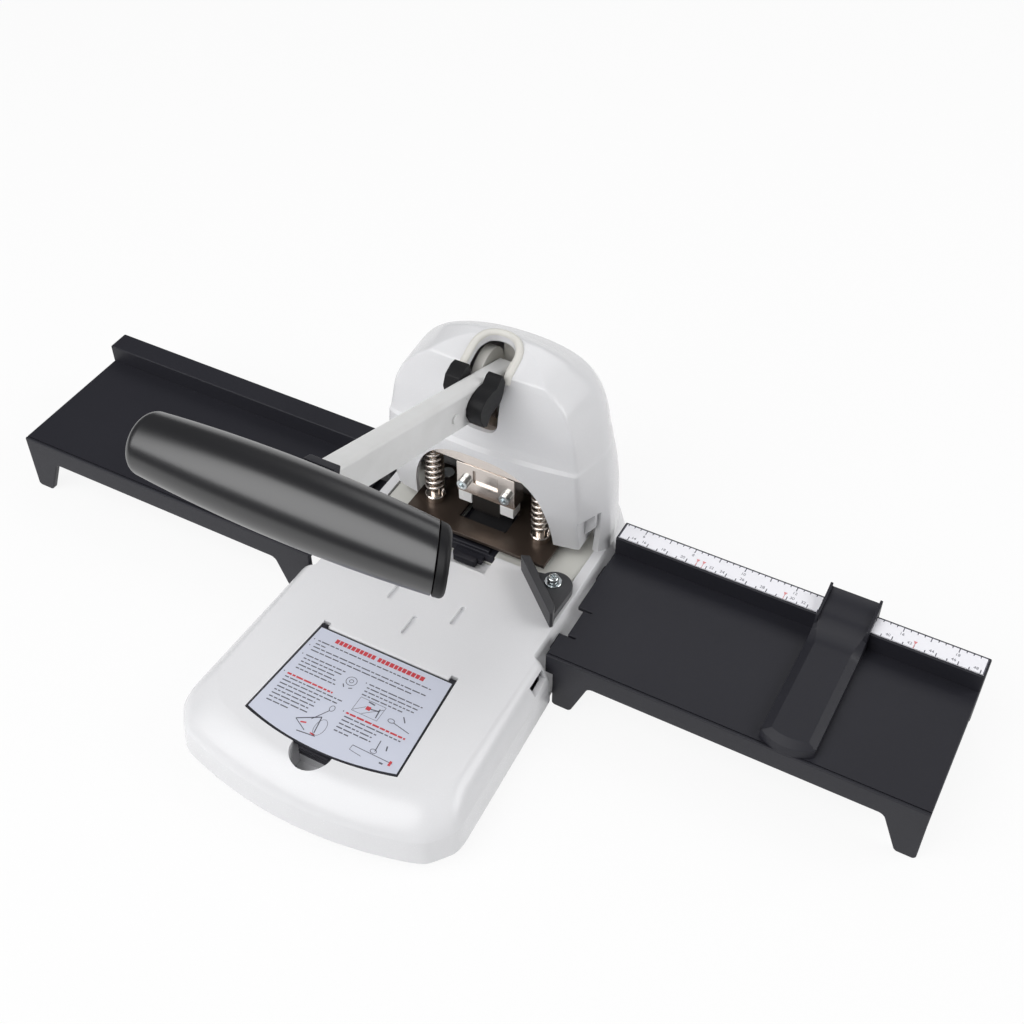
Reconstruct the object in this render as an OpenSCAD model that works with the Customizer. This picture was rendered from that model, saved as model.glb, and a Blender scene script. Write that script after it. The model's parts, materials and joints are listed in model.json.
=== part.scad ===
// Heavy duty hole punch: a lever press in a white housing with two extension tables.
// Millimetres, +Z up, +X to the right, the user stands at -Y.
// Origin: floor level, in the middle of the footprint.

/* [Base housing] */
// Depth of the base, front to back
base_depth = 250; // [240:1:270]
// Width of the base at its lower edge, near the front
base_w = 144; // [140:1:148]
// Width of the flat deck
deck_w = 122; // [120:1:124]
// How much each side draws in from the front corner to the tables
base_taper = 3; // [1:0.5:4]
// How far each side flares out from the deck down to the lower edge, beside the tables
base_flare = 6.5; // [3:0.5:7.5]
// Height of the deck above the floor
deck_h = 31.7; // [31.3:0.1:32.1]
// Thickness of the deck
deck_t = 3.2; // [2.8:0.1:3.6]
// Thickness of the housing's side walls
wall = 2.8; // [2:0.1:3.4]
// Height of the rounded upper edge
edge_h = 12; // [9:0.5:14]
// How far the rounding draws the front edge back
edge_front = 15; // [10:0.5:18]
// How far the rounding draws the side edges in
edge_side = 2; // [1:0.5:3]
// How far the front edge bows out in the middle
front_bow = 9; // [5:0.5:12]
// Radius of the front corners in plan
front_corner_r = 20; // [14:0.5:22]
// Length of the rounded rear end in plan
rear_round = 59; // [55:1:61]
// Height of the rubber feet
foot_h = 6.5; // [5.5:0.5:7.5]
// Radius of the rubber feet
foot_r = 7; // [5:0.5:9]
// Thickness of the steel base plate
base_plate_t = 1.5; // [1:0.1:2]
// Radius of the screw bosses under the deck
boss_r = 4; // [3.5:0.1:5]
// Radius of the base screws
base_screw_r = 1.5; // [1.2:0.1:2]

/* [Storage lid] */
// Distance from the front of the base to the lid's hinge edge
lid_setback = 82.9; // [78:0.1:86]
// Length of the lid along its sides
lid_len = 54.2; // [46:0.1:58]
// Width of the lid at its hinge edge
lid_w_back = 71; // [64:0.5:74]
// Width of the lid at its front corners
lid_w_front = 78; // [72:0.5:82]
// How far the lid's front edge bows out
lid_bow = 5.7; // [3:0.1:7]
// Thickness of the lid
lid_t = 1.9; // [1.4:0.1:2]
// Radius of the lid's hinge pins
lid_pin_r = 0.8; // [0.6:0.05:0.9]
// Radius of the thumb notch in front of the lid
notch_r = 10; // [7:0.5:10.5]
// Width of the border at the front and sides of the label
label_border = 1.5; // [1:0.1:3]
// Width of the border behind the label
label_back = 0.5; // [0.3:0.1:1]
// Thickness of the label plate
label_t = 0.3; // [0.2:0.05:0.5]
// Depth of the storage tray
tray_depth = 15; // [10:0.5:18]
// Wall of the storage tray
tray_wall = 1.6; // [1.2:0.1:2.2]

/* [Deck slots] */
// Length of each deck slot
slot_len = 12.4; // [8:0.1:15]
// Width of each deck slot
slot_w = 2.5; // [1.5:0.1:3]
// Depth of each deck slot
slot_d = 1.6; // [1:0.1:2.4]
// Distance of the outer deck slots from the middle
slot_x = 17; // [15:0.5:20]

/* [Bed and plate] */
// Width of the cast bed
bed_w = 108; // [104:1:110]
// Depth of the cast bed
bed_depth = 70; // [68:1:72]
// Height of the bed's slab
bed_t = 8; // [7.5:0.1:9]
// How far the bed lies below the deck
bed_drop = 1.2; // [1:0.1:1.4]
// Distance of the punch centre in front of the paper fence
punch_setback = 7; // [6.5:0.1:7.4]
// Height of the paper throat above the bed
throat_h = 3.5; // [3.4:0.1:3.8]
// Thickness of the punch plate
plate_t = 2; // [1.8:0.1:2.2]
// Half length of the punch plate
plate_half = 39.5; // [37:0.1:42]
// How far the punch plate reaches in front of the fence
plate_reach = 26.4; // [25:0.1:27.5]
// How far the punch plate reaches behind the fence
plate_tail = 13.5; // [12:0.1:14]

/* [Ram] */
// Distance of the guide posts from the middle
post_x = 29.5; // [28.5:0.1:30]
// Distance of the guide posts in front of the fence
post_setback = 10.5; // [10.2:0.1:10.8]
// Radius of the guide posts
post_r = 2.75; // [2.4:0.05:2.8]
// Height of the guide posts above the plate
post_h = 54.5; // [52:0.5:56]
// Radius of the collars at the feet of the posts
collar_r = 5; // [4.8:0.1:5.2]
// Height of the collars
collar_h = 4; // [3:0.5:6]
// Radius of the return springs at the middle of the wire
spring_r = 4.2; // [4.1:0.05:4.3]
// Diameter of the spring wire
wire_d = 1.6; // [1.2:0.05:1.7]
// Number of turns of each return spring
spring_turns = 7; // [5:1:8]
// Length of the return springs at rest
spring_len = 32.5; // [30:0.5:33.5]
// Height of the ram's crosshead
crosshead_h = 12; // [10:0.5:13]
// Half length of the crosshead
crosshead_half = 35; // [34:0.1:35.4]
// Radius of the ram's bushes
bush_r = 3.6; // [3.5:0.05:3.7]
// Half width of the punch holder
holder_half = 15.8; // [14.5:0.1:17]
// Height of the punch holder
holder_h = 19; // [17:0.5:20]
// Length of the slot that the punch cuts
punch_len = 14; // [8:0.5:16]
// Width of the slot that the punch cuts
punch_w = 4; // [3:0.1:6]
// Size of the square nuts
nut_size = 7.4; // [6:0.1:8]
// Radius of the clamp screws' heads
clamp_head_r = 2.9; // [2.4:0.1:3.4]

/* [Cutting disc] */
// Radius of the cutting disc
disc_r = 11; // [9.5:0.1:11.5]
// Thickness of the cutting disc
disc_t = 3.4; // [3:0.1:3.6]
// Half width of the disc holder
disc_holder_half = 13; // [12.5:0.1:14]
// How far the disc holder pulls out
disc_travel = 6; // [4:0.5:7]

/* [Lever] */
// Distance of the lever's pivot behind the fence
pivot_back = 6; // [5.5:0.1:6.5]
// Height of the lever's pivot above the deck
pivot_rise = 82.8; // [82.4:0.1:83.2]
// Angle of the lever above level at rest
lever_rest = 20; // [18:0.5:21]
// Distance from the pivot to the handle
lever_len = 170; // [150:1:190]
// Width of the lever channel
lever_w = 9.8; // [9.4:0.1:10.2]
// Depth of the lever channel
lever_d = 17.5; // [16.5:0.1:18]
// How far the pivot lies above the middle of the channel
lever_drop = 1.75; // [1.6:0.05:1.9]
// Sheet thickness of the lever channel
lever_sheet = 1.8; // [1.6:0.1:2]
// Bevel along the lever's upper edges
lever_bevel = 1.6; // [1:0.1:1.8]
// Radius of the pivot pin
pivot_r = 4; // [3:0.1:4.2]
// Distance from the pivot to the press roller
roller_arm = 14; // [13.5:0.1:14.2]
// Radius of the press roller
roller_r = 5; // [4.5:0.1:5.1]
// Thickness of the black cheek caps
cap_t = 7.5; // [5:0.5:8]

/* [Handle] */
// Length of the handle along its middle line
handle_len = 134; // [110:0.5:150]
// How far the handle sits to the right of the lever
handle_shift = -0.5; // [-4:0.5:4]
// Radius of the grip in the middle
grip_r_mid = 15.5; // [14:0.1:17]
// Radius of the grip at its ends
grip_r_end = 13; // [11:0.1:14]
// Thickness of the handle's right end cap
end_cap_t = 5; // [3:0.5:8]
// Slant of the handle's right end
end_slant = 28; // [0:1:30]
// Radius of the rounded left end of the grip
end_round = 4.5; // [2:0.5:6]
// Radius of the plug in the left end of the grip
plug_r = 7; // [6:0.2:8]
// Radius of the handle's steel core
core_r = 5; // [4:0.1:6]

/* [Head cover] */
// Height of the head cover above the deck
head_h = 103.8; // [103.4:0.1:106]
// Wall of the head cover
head_wall = 2.2; // [1.8:0.1:2.4]
// Half width of the arch over the punch
arch_half = 38; // [36:0.5:39]
// Height of the arch's crown above the deck
arch_h = 53.4; // [50:0.2:54]
// Half width of the lever slot
lever_slot_half = 9.5; // [9:0.1:10]
// Height of the rim round the lever slot
slot_rim_h = 1.4; // [0.8:0.1:2]
// Width of the rim round the lever slot
slot_rim_w = 3; // [2:0.1:4]

/* [Tables] */
// Gap between the deck's edge and each table
table_gap = 3.3; // [3:0.1:5]
// Length of each table
table_len = 178.4; // [150:0.1:220]
// Height of the table tops above the floor
table_h = 33.5; // [33:0.5:34.5]
// Depth of the tables in front of the fence
table_depth = 72.3; // [60:0.1:80]
// Thickness of the table tops and skirts
table_t = 2.5; // [2:0.1:3]
// Height of the table skirts
skirt_h = 12; // [11:0.5:13]
// Depth of the paper fence
fence_d = 12.1; // [10:0.1:14]
// Height of the paper fence
fence_h = 10.2; // [8:0.1:12]
// Width of a table leg at the skirt
leg_w_top = 18; // [14:0.5:22]
// Width of a table leg at the floor
leg_w_foot = 10; // [6:0.5:12]
// Radius of the fillet between a leg and the skirt
leg_fillet = 3.5; // [1:0.5:5]
// Thickness of the ruler strip
ruler_t = 0.4; // [0.2:0.05:0.8]
// Margin of the ruler strip on the fence
ruler_margin = 1; // [0.5:0.1:2]

/* [Paper stop] */
// Distance of the paper stop from the middle, at rest
stop_x = 178.1; // [150:0.1:190]
// Width of the paper stop
stop_w = 24.8; // [22:0.1:32]
// Height of the paper stop's body
stop_h = 6; // [4:0.1:8]
// How far the stop's tail rises above its saddle
tail_h = 5; // [3:0.5:8]
// Thickness of the stop's saddle
saddle_t = 2.3; // [1.8:0.1:2.5]

/* [Corner guides] */
// Distance of a guide's inner end from the middle
guide_in_x = 29; // [27:0.5:31]
// Distance of a guide's outer tip from the middle
guide_tip_x = 58; // [54:0.5:60]
// Height of a guide's upright face
guide_h = 10.5; // [8:0.5:13]
// Thickness of a guide's upright face
guide_wall = 4; // [3:0.1:5]
// Thickness of a guide's foot
guide_foot_t = 4.5; // [3:0.1:5.5]
// Radius of a guide's screw
guide_screw_r = 2; // [1.5:0.1:2.5]
// Adjusting travel of a guide each way
guide_travel = 2; // [1:0.1:2.5]

/* [Hidden] */
$fn = 48;

// Clearances
eps = 0.02;
slide_gap = 0.1;
run_gap = 0.05;
free_gap = 0.4;
past = 1;

// Main places
front_y = -base_depth / 2;
rear_y = base_depth / 2;
fence_y = 62.5;
punch_y = fence_y - punch_setback;
post_y = fence_y - post_setback;
deck_half = deck_w / 2;
deck_under = deck_h - deck_t;
floor_plate_top = foot_h + base_plate_t;
bed_top = deck_h - bed_drop;
bed_front = 34.4;
bed_rear = bed_front + bed_depth;
plate_under = bed_top + throat_h;
plate_top = plate_under + plate_t;
plate_front = fence_y - plate_reach;
plate_rear = fence_y + plate_tail;
collar_top = plate_top + collar_h;
crosshead_z = collar_top + spring_len;
crosshead_top = crosshead_z + crosshead_h;
pivot_y = fence_y + pivot_back;
pivot_z = deck_h + pivot_rise;
table_in = deck_half + table_gap;
table_out = table_in + table_len;
table_front = fence_y - table_depth;
table_rear = fence_y + fence_d;
fence_top = table_h + fence_h;

// Small repeated shapes
module block(low, high) {
    translate(low) cube(high - low);
}
module rod_x(r, x0, x1, y, z) {
    translate([x0, y, z]) rotate([0, 90, 0]) cylinder(r = r, h = x1 - x0);
}
module rod_z(r, x, y, z0, z1) {
    translate([x, y, z0]) cylinder(r = r, h = z1 - z0);
}
module both_sides() {
    children();
    mirror([1, 0, 0]) children();
}
// A flat outline given as [y, z] points, made x0 to x1 thick
module side_slab(x0, x1) {
    translate([x0, 0, 0]) rotate([90, 0, 90]) linear_extrude(x1 - x0) children();
}
// A flat outline given as [x, z] points, made y0 to y1 thick
module front_slab(y0, y1) {
    translate([0, y1, 0]) rotate([90, 0, 0]) linear_extrude(y1 - y0) children();
}
function mix(a, b, t) = a + (b - a) * t;
function arc(cx, cy, r, a0, a1, n) =
    [for (i = [0:n]) [cx + r * cos(mix(a0, a1, i / n)), cy + r * sin(mix(a0, a1, i / n))]];
// Right half of an outline, front to back, closed with its mirror image
function closed(half) =
    concat(half, [for (i = [len(half) - 1:-1:1]) [-half[i][0], half[i][1]]]);
function lift(outline, z) = [for (p = outline) [p[0], p[1], z]];
// A solid through rings of equal count, from the lowest ring up
module loft(rings) {
    n = len(rings[0]);
    m = len(rings);
    sides = [for (k = [0:m - 2], i = [0:n - 1]) let (a = k * n + i, b = k * n + (i + 1) % n)
        each [[a, a + n, b + n], [a, b + n, b]]];
    polyhedron(points = [for (r = rings) each r],
        faces = concat([[for (i = [0:n - 1]) i]], [[for (i = [n - 1:-1:0]) (m - 1) * n + i]], sides));
}

// Base housing
base_rear_lean = 3;
base_front_lean = 2;
base_side_lean = 1;
step_y = table_front - 2.2;
// A power of 2 gives a round edge, a power near 1 a flat bevel with soft ends
edge_power = 1.6;
facet_start = -55;
facet_end = -22;
function edge_drop(z) =
    let (e = min(1, max(0, (z - (deck_h - edge_h)) / edge_h)))
    1 - pow(1 - pow(e, edge_power), 1 / edge_power);
function base_rise(z) = (z - foot_h) / (deck_h - foot_h);
// Half width of the wide front part, where its lower edge is half_low from the middle
function front_half(z, half_low) =
    mix(half_low - base_side_lean * base_rise(z), deck_half, edge_drop(z));
function base_half(z, inset) =
    let (hw = front_half(z, base_w / 2) - inset,
        hs = front_half(z, base_w / 2 - base_taper) - inset,
        hr = mix(deck_half + base_flare, deck_half, base_rise(z)) - edge_side * edge_drop(z) - inset,
        yf = front_y + base_front_lean * base_rise(z) + edge_front * edge_drop(z) + inset,
        yr = rear_y - base_rear_lean * (base_rise(z) + edge_drop(z)) - inset,
        ym = rear_y - rear_round,
        tilt = atan(2 * front_bow / (hw - front_corner_r)),
        xs = hw - front_corner_r * (1 - sin(tilt)),
        corner_y = yf + front_bow + front_corner_r * cos(tilt),
        steps = 8)
    concat([for (i = [0:steps - 1]) [xs * i / steps, yf + front_bow * pow(i / steps, 2)]],
        // Each front corner is a flat facet between two short rounds
        arc(hw - front_corner_r, corner_y, front_corner_r, tilt - 90, facet_start, 2),
        arc(hw - front_corner_r, corner_y, front_corner_r, facet_end, 0, 2),
        [[hs, step_y - inset], [hr, step_y - inset]],
        [for (i = [0:10]) [hr * cos(9 * i), ym + (yr - ym) * sin(9 * i)]]);
function base_ring(z, inset) = lift(closed(base_half(z, inset)), z);
function base_levels(low, top) =
    let (start = deck_h - edge_h, steps = 6)
    concat([low, start], [for (i = [1:steps]) mix(start, top, pow(sin(90 * i / steps), 2 / edge_power))]);
screw_setback = 42;
screw_mid_y = 22;
screw_rear = 41;
base_screw_at = [[50, front_y + screw_setback], [50, screw_mid_y], [44, rear_y - screw_rear]];
foot_at = [[50, front_y + 26], [40, rear_y - 24]];
window_y = -20.5;
window_len = 12;
window_h = 5;
tab_len = 6.4;
tab_front = bed_front - tab_len;
pocket_half = disc_holder_half + 2;
pocket_front = tab_front - disc_travel - free_gap;
pocket_d = 7.6;
pocket_floor = deck_h - pocket_d;
tongue_w = 10;
tongue_t = 3.5;
tongue_reach = 7;
tongue_top = table_h - 6.5;
tongue_at = [0, 48];
deck_slot_at = [[-slot_x, -7], [slot_x, -7], [0, -22.5]];

module deck_openings() {
    // Well over the bed
    block([-bed_w / 2 - free_gap, bed_front - free_gap, deck_under - past],
        [bed_w / 2 + free_gap, bed_step + free_gap, deck_h + past]);
    block([-bed_tail_half - free_gap, bed_step, deck_under - past],
        [bed_tail_half + free_gap, bed_rear + free_gap, deck_h + past]);
    // Finger pocket in front of the disc holder
    block([-pocket_half, pocket_front, pocket_floor], [pocket_half, bed_front, deck_h + past]);
    for (p = deck_slot_at)
        block([p[0] - slot_w / 2, p[1] - slot_len / 2, deck_h - slot_d],
            [p[0] + slot_w / 2, p[1] + slot_len / 2, deck_h + past]);
    rod_z(notch_r, 0, lid_front_y - free_gap, deck_under - past, deck_h + past);
}
module base_housing() {
    color("white") difference() {
        union() {
            difference() {
                loft([for (z = base_levels(foot_h, deck_h)) base_ring(z, 0)]);
                loft([for (z = base_levels(foot_h - past, deck_under)) base_ring(z, wall)]);
            }
            block([-pocket_half - wall, pocket_front - wall, pocket_floor - wall],
                [pocket_half + wall, bed_front - free_gap, deck_under + eps]);
            both_sides() {
                for (p = base_screw_at) rod_z(boss_r, p[0], p[1], floor_plate_top, deck_under + eps);
                rod_z(boss_r, guide_screw_x, guide_screw_y, deck_h - guide_thread, deck_under + eps);
            }
        }
        deck_openings();
        lid_recess();
        both_sides() {
            for (p = base_screw_at)
                rod_z(base_screw_r + run_gap, p[0], p[1], foot_h, base_screw_tip + past);
            rod_z(guide_screw_r + run_gap, guide_screw_x, guide_screw_y, deck_h - guide_thread - past,
                deck_h + past);
            block([deck_half - wall - edge_side, window_y - window_len / 2, deck_under - window_h],
                [base_w / 2 + past, window_y + window_len / 2, deck_under]);
            for (y = tongue_at)
                block([table_in - tongue_reach - past, y - free_gap, tongue_top - tongue_t - free_gap],
                    [table_in + past, y + tongue_w + free_gap, tongue_top + free_gap]);
        }
    }
}
base_screw_len = 12;
base_screw_tip = foot_h + base_screw_len;
base_screw_head_h = 1.8;
module base_plate() {
    color("gray") difference() {
        translate([0, 0, foot_h]) linear_extrude(base_plate_t)
            polygon(closed(base_half(floor_plate_top, wall + free_gap)));
        both_sides() for (p = base_screw_at)
            rod_z(base_screw_r + run_gap, p[0], p[1], foot_h - past, floor_plate_top + past);
    }
}
module rubber_feet() {
    foot_taper = 0.8;
    color("black") both_sides() for (p = foot_at)
        translate([p[0], p[1], 0]) cylinder(r1 = foot_r - foot_taper, r2 = foot_r, h = foot_h);
}
module base_screws() {
    head_r = base_screw_r * 2.1;
    color("silver") both_sides() for (p = base_screw_at) {
        rod_z(head_r, p[0], p[1], foot_h - base_screw_head_h, foot_h);
        rod_z(base_screw_r, p[0], p[1], foot_h - eps, base_screw_tip);
    }
}

// Storage lid and tray
lid_back_y = front_y + lid_setback;
lid_side_y = lid_back_y - lid_len;
lid_front_y = lid_side_y - lid_bow;
lid_top = deck_h - slide_gap;
lid_ledge = 3;
lid_axis_y = lid_back_y + 1.4;
lid_axis_z = lid_top - lid_t / 2;
lid_pin_len = 3;
lid_ear_w = 3;
lid_hinge_gap = 0.5;
function lid_outline(grow, hinge_gap = 0) =
    let (steps = 8, wf = lid_w_front / 2 + grow, wb = lid_w_back / 2 + grow)
    closed(concat([for (i = [0:steps]) [wf * i / steps,
        mix(lid_front_y, lid_side_y, pow(i / steps, 2)) - grow]],
        [[wb, lid_back_y + grow + hinge_gap]]));
module lid_recess() {
    recess_floor = lid_top - lid_t - slide_gap;
    ear_room = lid_pin_r + 1.2;
    translate([0, 0, recess_floor]) linear_extrude(deck_t + past)
        polygon(lid_outline(free_gap, lid_hinge_gap));
    translate([0, 0, deck_under - past]) linear_extrude(deck_t + past) polygon(lid_outline(-lid_ledge));
    both_sides() {
        block([lid_w_back / 2 - lid_ear_w - free_gap, lid_back_y, recess_floor],
            [lid_w_back / 2 + free_gap, lid_axis_y + ear_room, deck_h + past]);
        rod_x(lid_pin_r + run_gap, lid_w_back / 2 - past, lid_w_back / 2 + lid_pin_len + past, lid_axis_y,
            lid_axis_z);
    }
}
module storage_lid() {
    ear_r = lid_t / 2;
    color("dimgray") {
        difference() {
            translate([0, 0, lid_top - lid_t]) linear_extrude(lid_t) polygon(lid_outline(0));
            translate([0, 0, lid_top - label_t]) linear_extrude(label_t + past)
                polygon(lid_outline(-label_border, label_border - label_back));
        }
        both_sides() {
            block([lid_w_back / 2 - lid_ear_w, lid_back_y - past, lid_axis_z - ear_r],
                [lid_w_back / 2, lid_axis_y, lid_axis_z + ear_r]);
            rod_x(ear_r, lid_w_back / 2 - lid_ear_w, lid_w_back / 2, lid_axis_y, lid_axis_z);
            rod_x(lid_pin_r, lid_w_back / 2 - eps, lid_w_back / 2 + lid_pin_len, lid_axis_y, lid_axis_z);
        }
    }
}
module label_plate() {
    color("aliceblue") translate([0, 0, lid_top - label_t]) linear_extrude(label_t)
        polygon(lid_outline(-label_border - run_gap, label_border - label_back));
}
module storage_tray() {
    inner = lid_w_back / 2 - lid_ledge;
    low = deck_under - tray_depth;
    back = lid_back_y - lid_ledge;
    front = lid_side_y + lid_ledge;
    color("whitesmoke") difference() {
        block([-inner - tray_wall, front - tray_wall, low - tray_wall],
            [inner + tray_wall, back + tray_wall, deck_under]);
        block([-inner, front, low], [inner, back, deck_under + past]);
    }
}

// Bed, plate and frame
channel_half = disc_holder_half + free_gap;
channel_floor = bed_top - 5.4;
channel_end = punch_y + disc_r + 4;
rib_w = 10;
bed_step = plate_rear + free_gap;
bed_tail_half = 32;
cheek_in = lever_w / 2 + 0.6;
cheek_t = 5;
cheek_out = cheek_in + cheek_t;
cheek_front = plate_rear + 1;
cheek_rear = bed_rear - 6;
cheek_boss_r = 12;
foot_flange_w = 13;
foot_flange_t = 5;
frame_bolt_r = 2.5;
frame_bolt_x = cheek_out + foot_flange_w / 2;
frame_bolt_at = [cheek_front + 5, cheek_rear - 5];
frame_bolt_depth = 6;
tie_y = cheek_rear - 9;
tie_z = bed_top + 44;
tie_r = 3;
plate_screw_r = 2;
plate_screw_x = plate_half - 7;
plate_screw_y = fence_y + 6.5;
plate_screw_depth = 6;
module bed() {
    color("cornsilk") difference() {
        union() {
            block([-bed_w / 2, bed_front, bed_top - bed_t], [bed_w / 2, bed_step, bed_top]);
            block([-bed_tail_half, bed_step - past, bed_top - bed_t], [bed_tail_half, bed_rear, bed_top]);
            both_sides() block([bed_w / 2 - rib_w, bed_front + rib_w, floor_plate_top],
                [bed_w / 2, bed_step, bed_top - bed_t + eps]);
            both_sides() block([bed_tail_half - rib_w, bed_rear - rib_w, floor_plate_top],
                [bed_tail_half, bed_rear, bed_top - bed_t + eps]);
        }
        block([-channel_half, bed_front - past, channel_floor],
            [channel_half, channel_end + free_gap, bed_top + past]);
        both_sides() {
            for (y = frame_bolt_at)
                rod_z(frame_bolt_r + run_gap, frame_bolt_x, y, bed_top - frame_bolt_depth - past,
                    bed_top + past);
            rod_z(plate_screw_r + run_gap, plate_screw_x, plate_screw_y,
                bed_top - plate_screw_depth - past, bed_top + past);
        }
    }
}
module frame_cheek() {
    color("gainsboro") difference() {
        union() {
            side_slab(cheek_in, cheek_out) {
                polygon([[cheek_front, bed_top], [cheek_rear, bed_top], [cheek_rear, tie_z],
                    [pivot_y + cheek_boss_r * 0.8, pivot_z + cheek_boss_r * 0.6],
                    [pivot_y - cheek_boss_r * 0.9, pivot_z - cheek_boss_r * 0.45], [cheek_front, tie_z]]);
                translate([pivot_y, pivot_z]) circle(cheek_boss_r);
            }
            block([cheek_out - eps, cheek_front, bed_top],
                [cheek_out + foot_flange_w, cheek_rear, bed_top + foot_flange_t]);
        }
        rod_x(pivot_r + run_gap, cheek_in - past, cheek_out + past, pivot_y, pivot_z);
        rod_x(tie_r + run_gap, cheek_in - past, cheek_out + past, tie_y, tie_z);
        for (y = frame_bolt_at)
            rod_z(frame_bolt_r + run_gap, frame_bolt_x, y, bed_top - past, bed_top + foot_flange_t + past);
    }
}
module frame_cheek_right() {
    frame_cheek();
}
module frame_cheek_left() {
    mirror([1, 0, 0]) frame_cheek();
}
module frame_bolts() {
    head_h = 3.5;
    seat = bed_top + foot_flange_t;
    color("silver") both_sides() for (y = frame_bolt_at) {
        translate([frame_bolt_x, y, seat]) cylinder(r = frame_bolt_r * 1.8, h = head_h, $fn = 6);
        rod_z(frame_bolt_r, frame_bolt_x, y, bed_top - frame_bolt_depth, seat + eps);
    }
}
module tie_bolt() {
    nut_t = 3;
    color("silver") {
        rod_x(tie_r, -cheek_out - nut_t, cheek_out + nut_t, tie_y, tie_z);
        rod_x(tie_r + 1.5, -cheek_in, cheek_in, tie_y, tie_z);
        both_sides() rod_x(tie_r + 2, cheek_out, cheek_out + nut_t, tie_y, tie_z);
    }
}
plate_hole_half = holder_half - 3;
plate_hole_front = punch_y - 8.5;
plate_hole_rear = punch_y + 6;
plate_notch_d = 4;
plate_notch_w = 3.5;
plate_notch_y = fence_y - 5;
module punch_plate() {
    color("rosybrown") difference() {
        block([-plate_half, plate_front, plate_under], [plate_half, plate_rear, plate_top]);
        block([-plate_hole_half, plate_hole_front, plate_under - past],
            [plate_hole_half, plate_hole_rear, plate_top + past]);
        both_sides() {
            rod_z(post_r + run_gap, post_x, post_y, plate_under - past, plate_top + past);
            rod_z(plate_screw_r + run_gap, plate_screw_x, plate_screw_y, plate_under - past,
                plate_top + past);
            block([plate_half - plate_notch_d, plate_notch_y, plate_under - past],
                [plate_half + past, plate_notch_y + plate_notch_w, plate_top + past]);
        }
    }
}
module plate_spacer() {
    color("gray") difference() {
        block([-plate_half, fence_y, bed_top], [plate_half, plate_rear, plate_under]);
        block([-channel_half, fence_y - past, bed_top - past],
            [channel_half, channel_end + free_gap, plate_under + past]);
        both_sides() rod_z(plate_screw_r + run_gap, plate_screw_x, plate_screw_y, bed_top - past,
            plate_under + past);
    }
}
module plate_screws() {
    head_h = 2;
    color("silver") both_sides() {
        rod_z(plate_screw_r * 1.8, plate_screw_x, plate_screw_y, plate_top, plate_top + head_h);
        rod_z(plate_screw_r, plate_screw_x, plate_screw_y, bed_top - plate_screw_depth, plate_top + eps);
    }
}

// Guide posts and return springs
module guide_posts() {
    color("silver") both_sides() rod_z(post_r, post_x, post_y, plate_under, plate_top + post_h);
}
module post_collars() {
    color("white") both_sides() difference() {
        rod_z(collar_r, post_x, post_y, plate_top, collar_top);
        rod_z(post_r + run_gap, post_x, post_y, plate_top - past, collar_top + past);
    }
}
// The wire leaves its seat upright, bends over into the helix and ends upright again
rings_per_turn = 8;
wire_sides = 6;
bend_r = wire_d * 1.1;
bend_steps = 3;
helix_low = wire_d + bend_r;
helix_pitch = (spring_len - 2 * helix_low) / spring_turns;
bend_sweep = bend_r / spring_r * 180 / PI;
helix_steps = rings_per_turn * spring_turns;
function bend_points() = [for (i = [0:bend_steps]) let (a = 90 * i / bend_steps)
    [bend_sweep * (1 - cos(a)), wire_d + bend_r * sin(a)]];
// Turn angle and height of each point along the wire
spring_low = concat([[0, 0]], bend_points());
spring_mid = [for (i = [1:helix_steps - 1]) [bend_sweep + 360 * i / rings_per_turn,
    helix_low + helix_pitch * i / rings_per_turn]];
spring_last = 2 * bend_sweep + 360 * spring_turns;
spring_high = [for (i = [len(spring_low) - 1:-1:0]) [spring_last - spring_low[i][0],
    spring_len - spring_low[i][1]]];
spring_path = concat(spring_low, spring_mid, spring_high);
function spring_point(i) =
    [spring_r * cos(spring_path[i][0]), spring_r * sin(spring_path[i][0]), spring_path[i][1]];
function unit(v) = v / norm(v);
function spring_tangent(i) =
    let (n = len(spring_path) - 1)
    i <= 1 || i >= n - 1 ? [0, 0, 1] : unit(spring_point(i + 1) - spring_point(i - 1));
function wire_ring(i) =
    let (a = spring_path[i][0], out = [cos(a), sin(a), 0], side = cross(spring_tangent(i), out),
        c = spring_point(i))
    [for (k = [0:wire_sides - 1]) let (b = 360 * k / wire_sides)
        c + wire_d / 2 * (out * cos(b) + side * sin(b))];
spring_gap = min([for (i = [0:len(spring_path) - 1], j = [i + rings_per_turn - 1:1:len(spring_path) - 1])
    norm(spring_point(i) - spring_point(j))]) - wire_d;
module return_spring(x) {
    echo(spring_least_gap = spring_gap);
    color("silver") translate([x, post_y, collar_top])
        loft([for (i = [0:len(spring_path) - 1]) wire_ring(i)]);
}
module return_spring_left() {
    return_spring(-post_x);
}
module return_spring_right() {
    return_spring(post_x);
}

// Head cover: each row is height above the deck, front, crease x, crease y, half width, widest y, rear
head_rows = [
    [0, 46.5, 49.7, 52.4, 60, 65, 118],
    [27.8, 43, 51.2, 47.4, 59.2, 65, 117],
    [42.8, 41.8, 51, 46.8, 57.6, 66, 113.5],
    [54.8, 41, 50.2, 46.6, 55.3, 67.2, 109.6],
    [57.8, 41.2, 50, 46.6, 54.7, 67.3, 109],
    [59.4, 43.4, 49.6, 47.6, 54.1, 67.6, 108.5],
    [75.8, 46.4, 46.8, 48.6, 49.7, 71.2, 103.5],
    [87, 49.3, 42.2, 50.2, 43.6, 73, 97.4],
    [94, 51.2, 35, 52, 36.6, 71.4, 87.6],
    [97.3, 52.8, 30, 53.4, 32.4, 70.6, 83],
    [100.3, 59.5, 24, 60, 26, 70.8, 79],
    [102.8, 66, 16, 66.2, 18, 71, 75.5],
    [head_h, 68.5, 10, 68.6, 10.8, 70.5, 73]];
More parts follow.
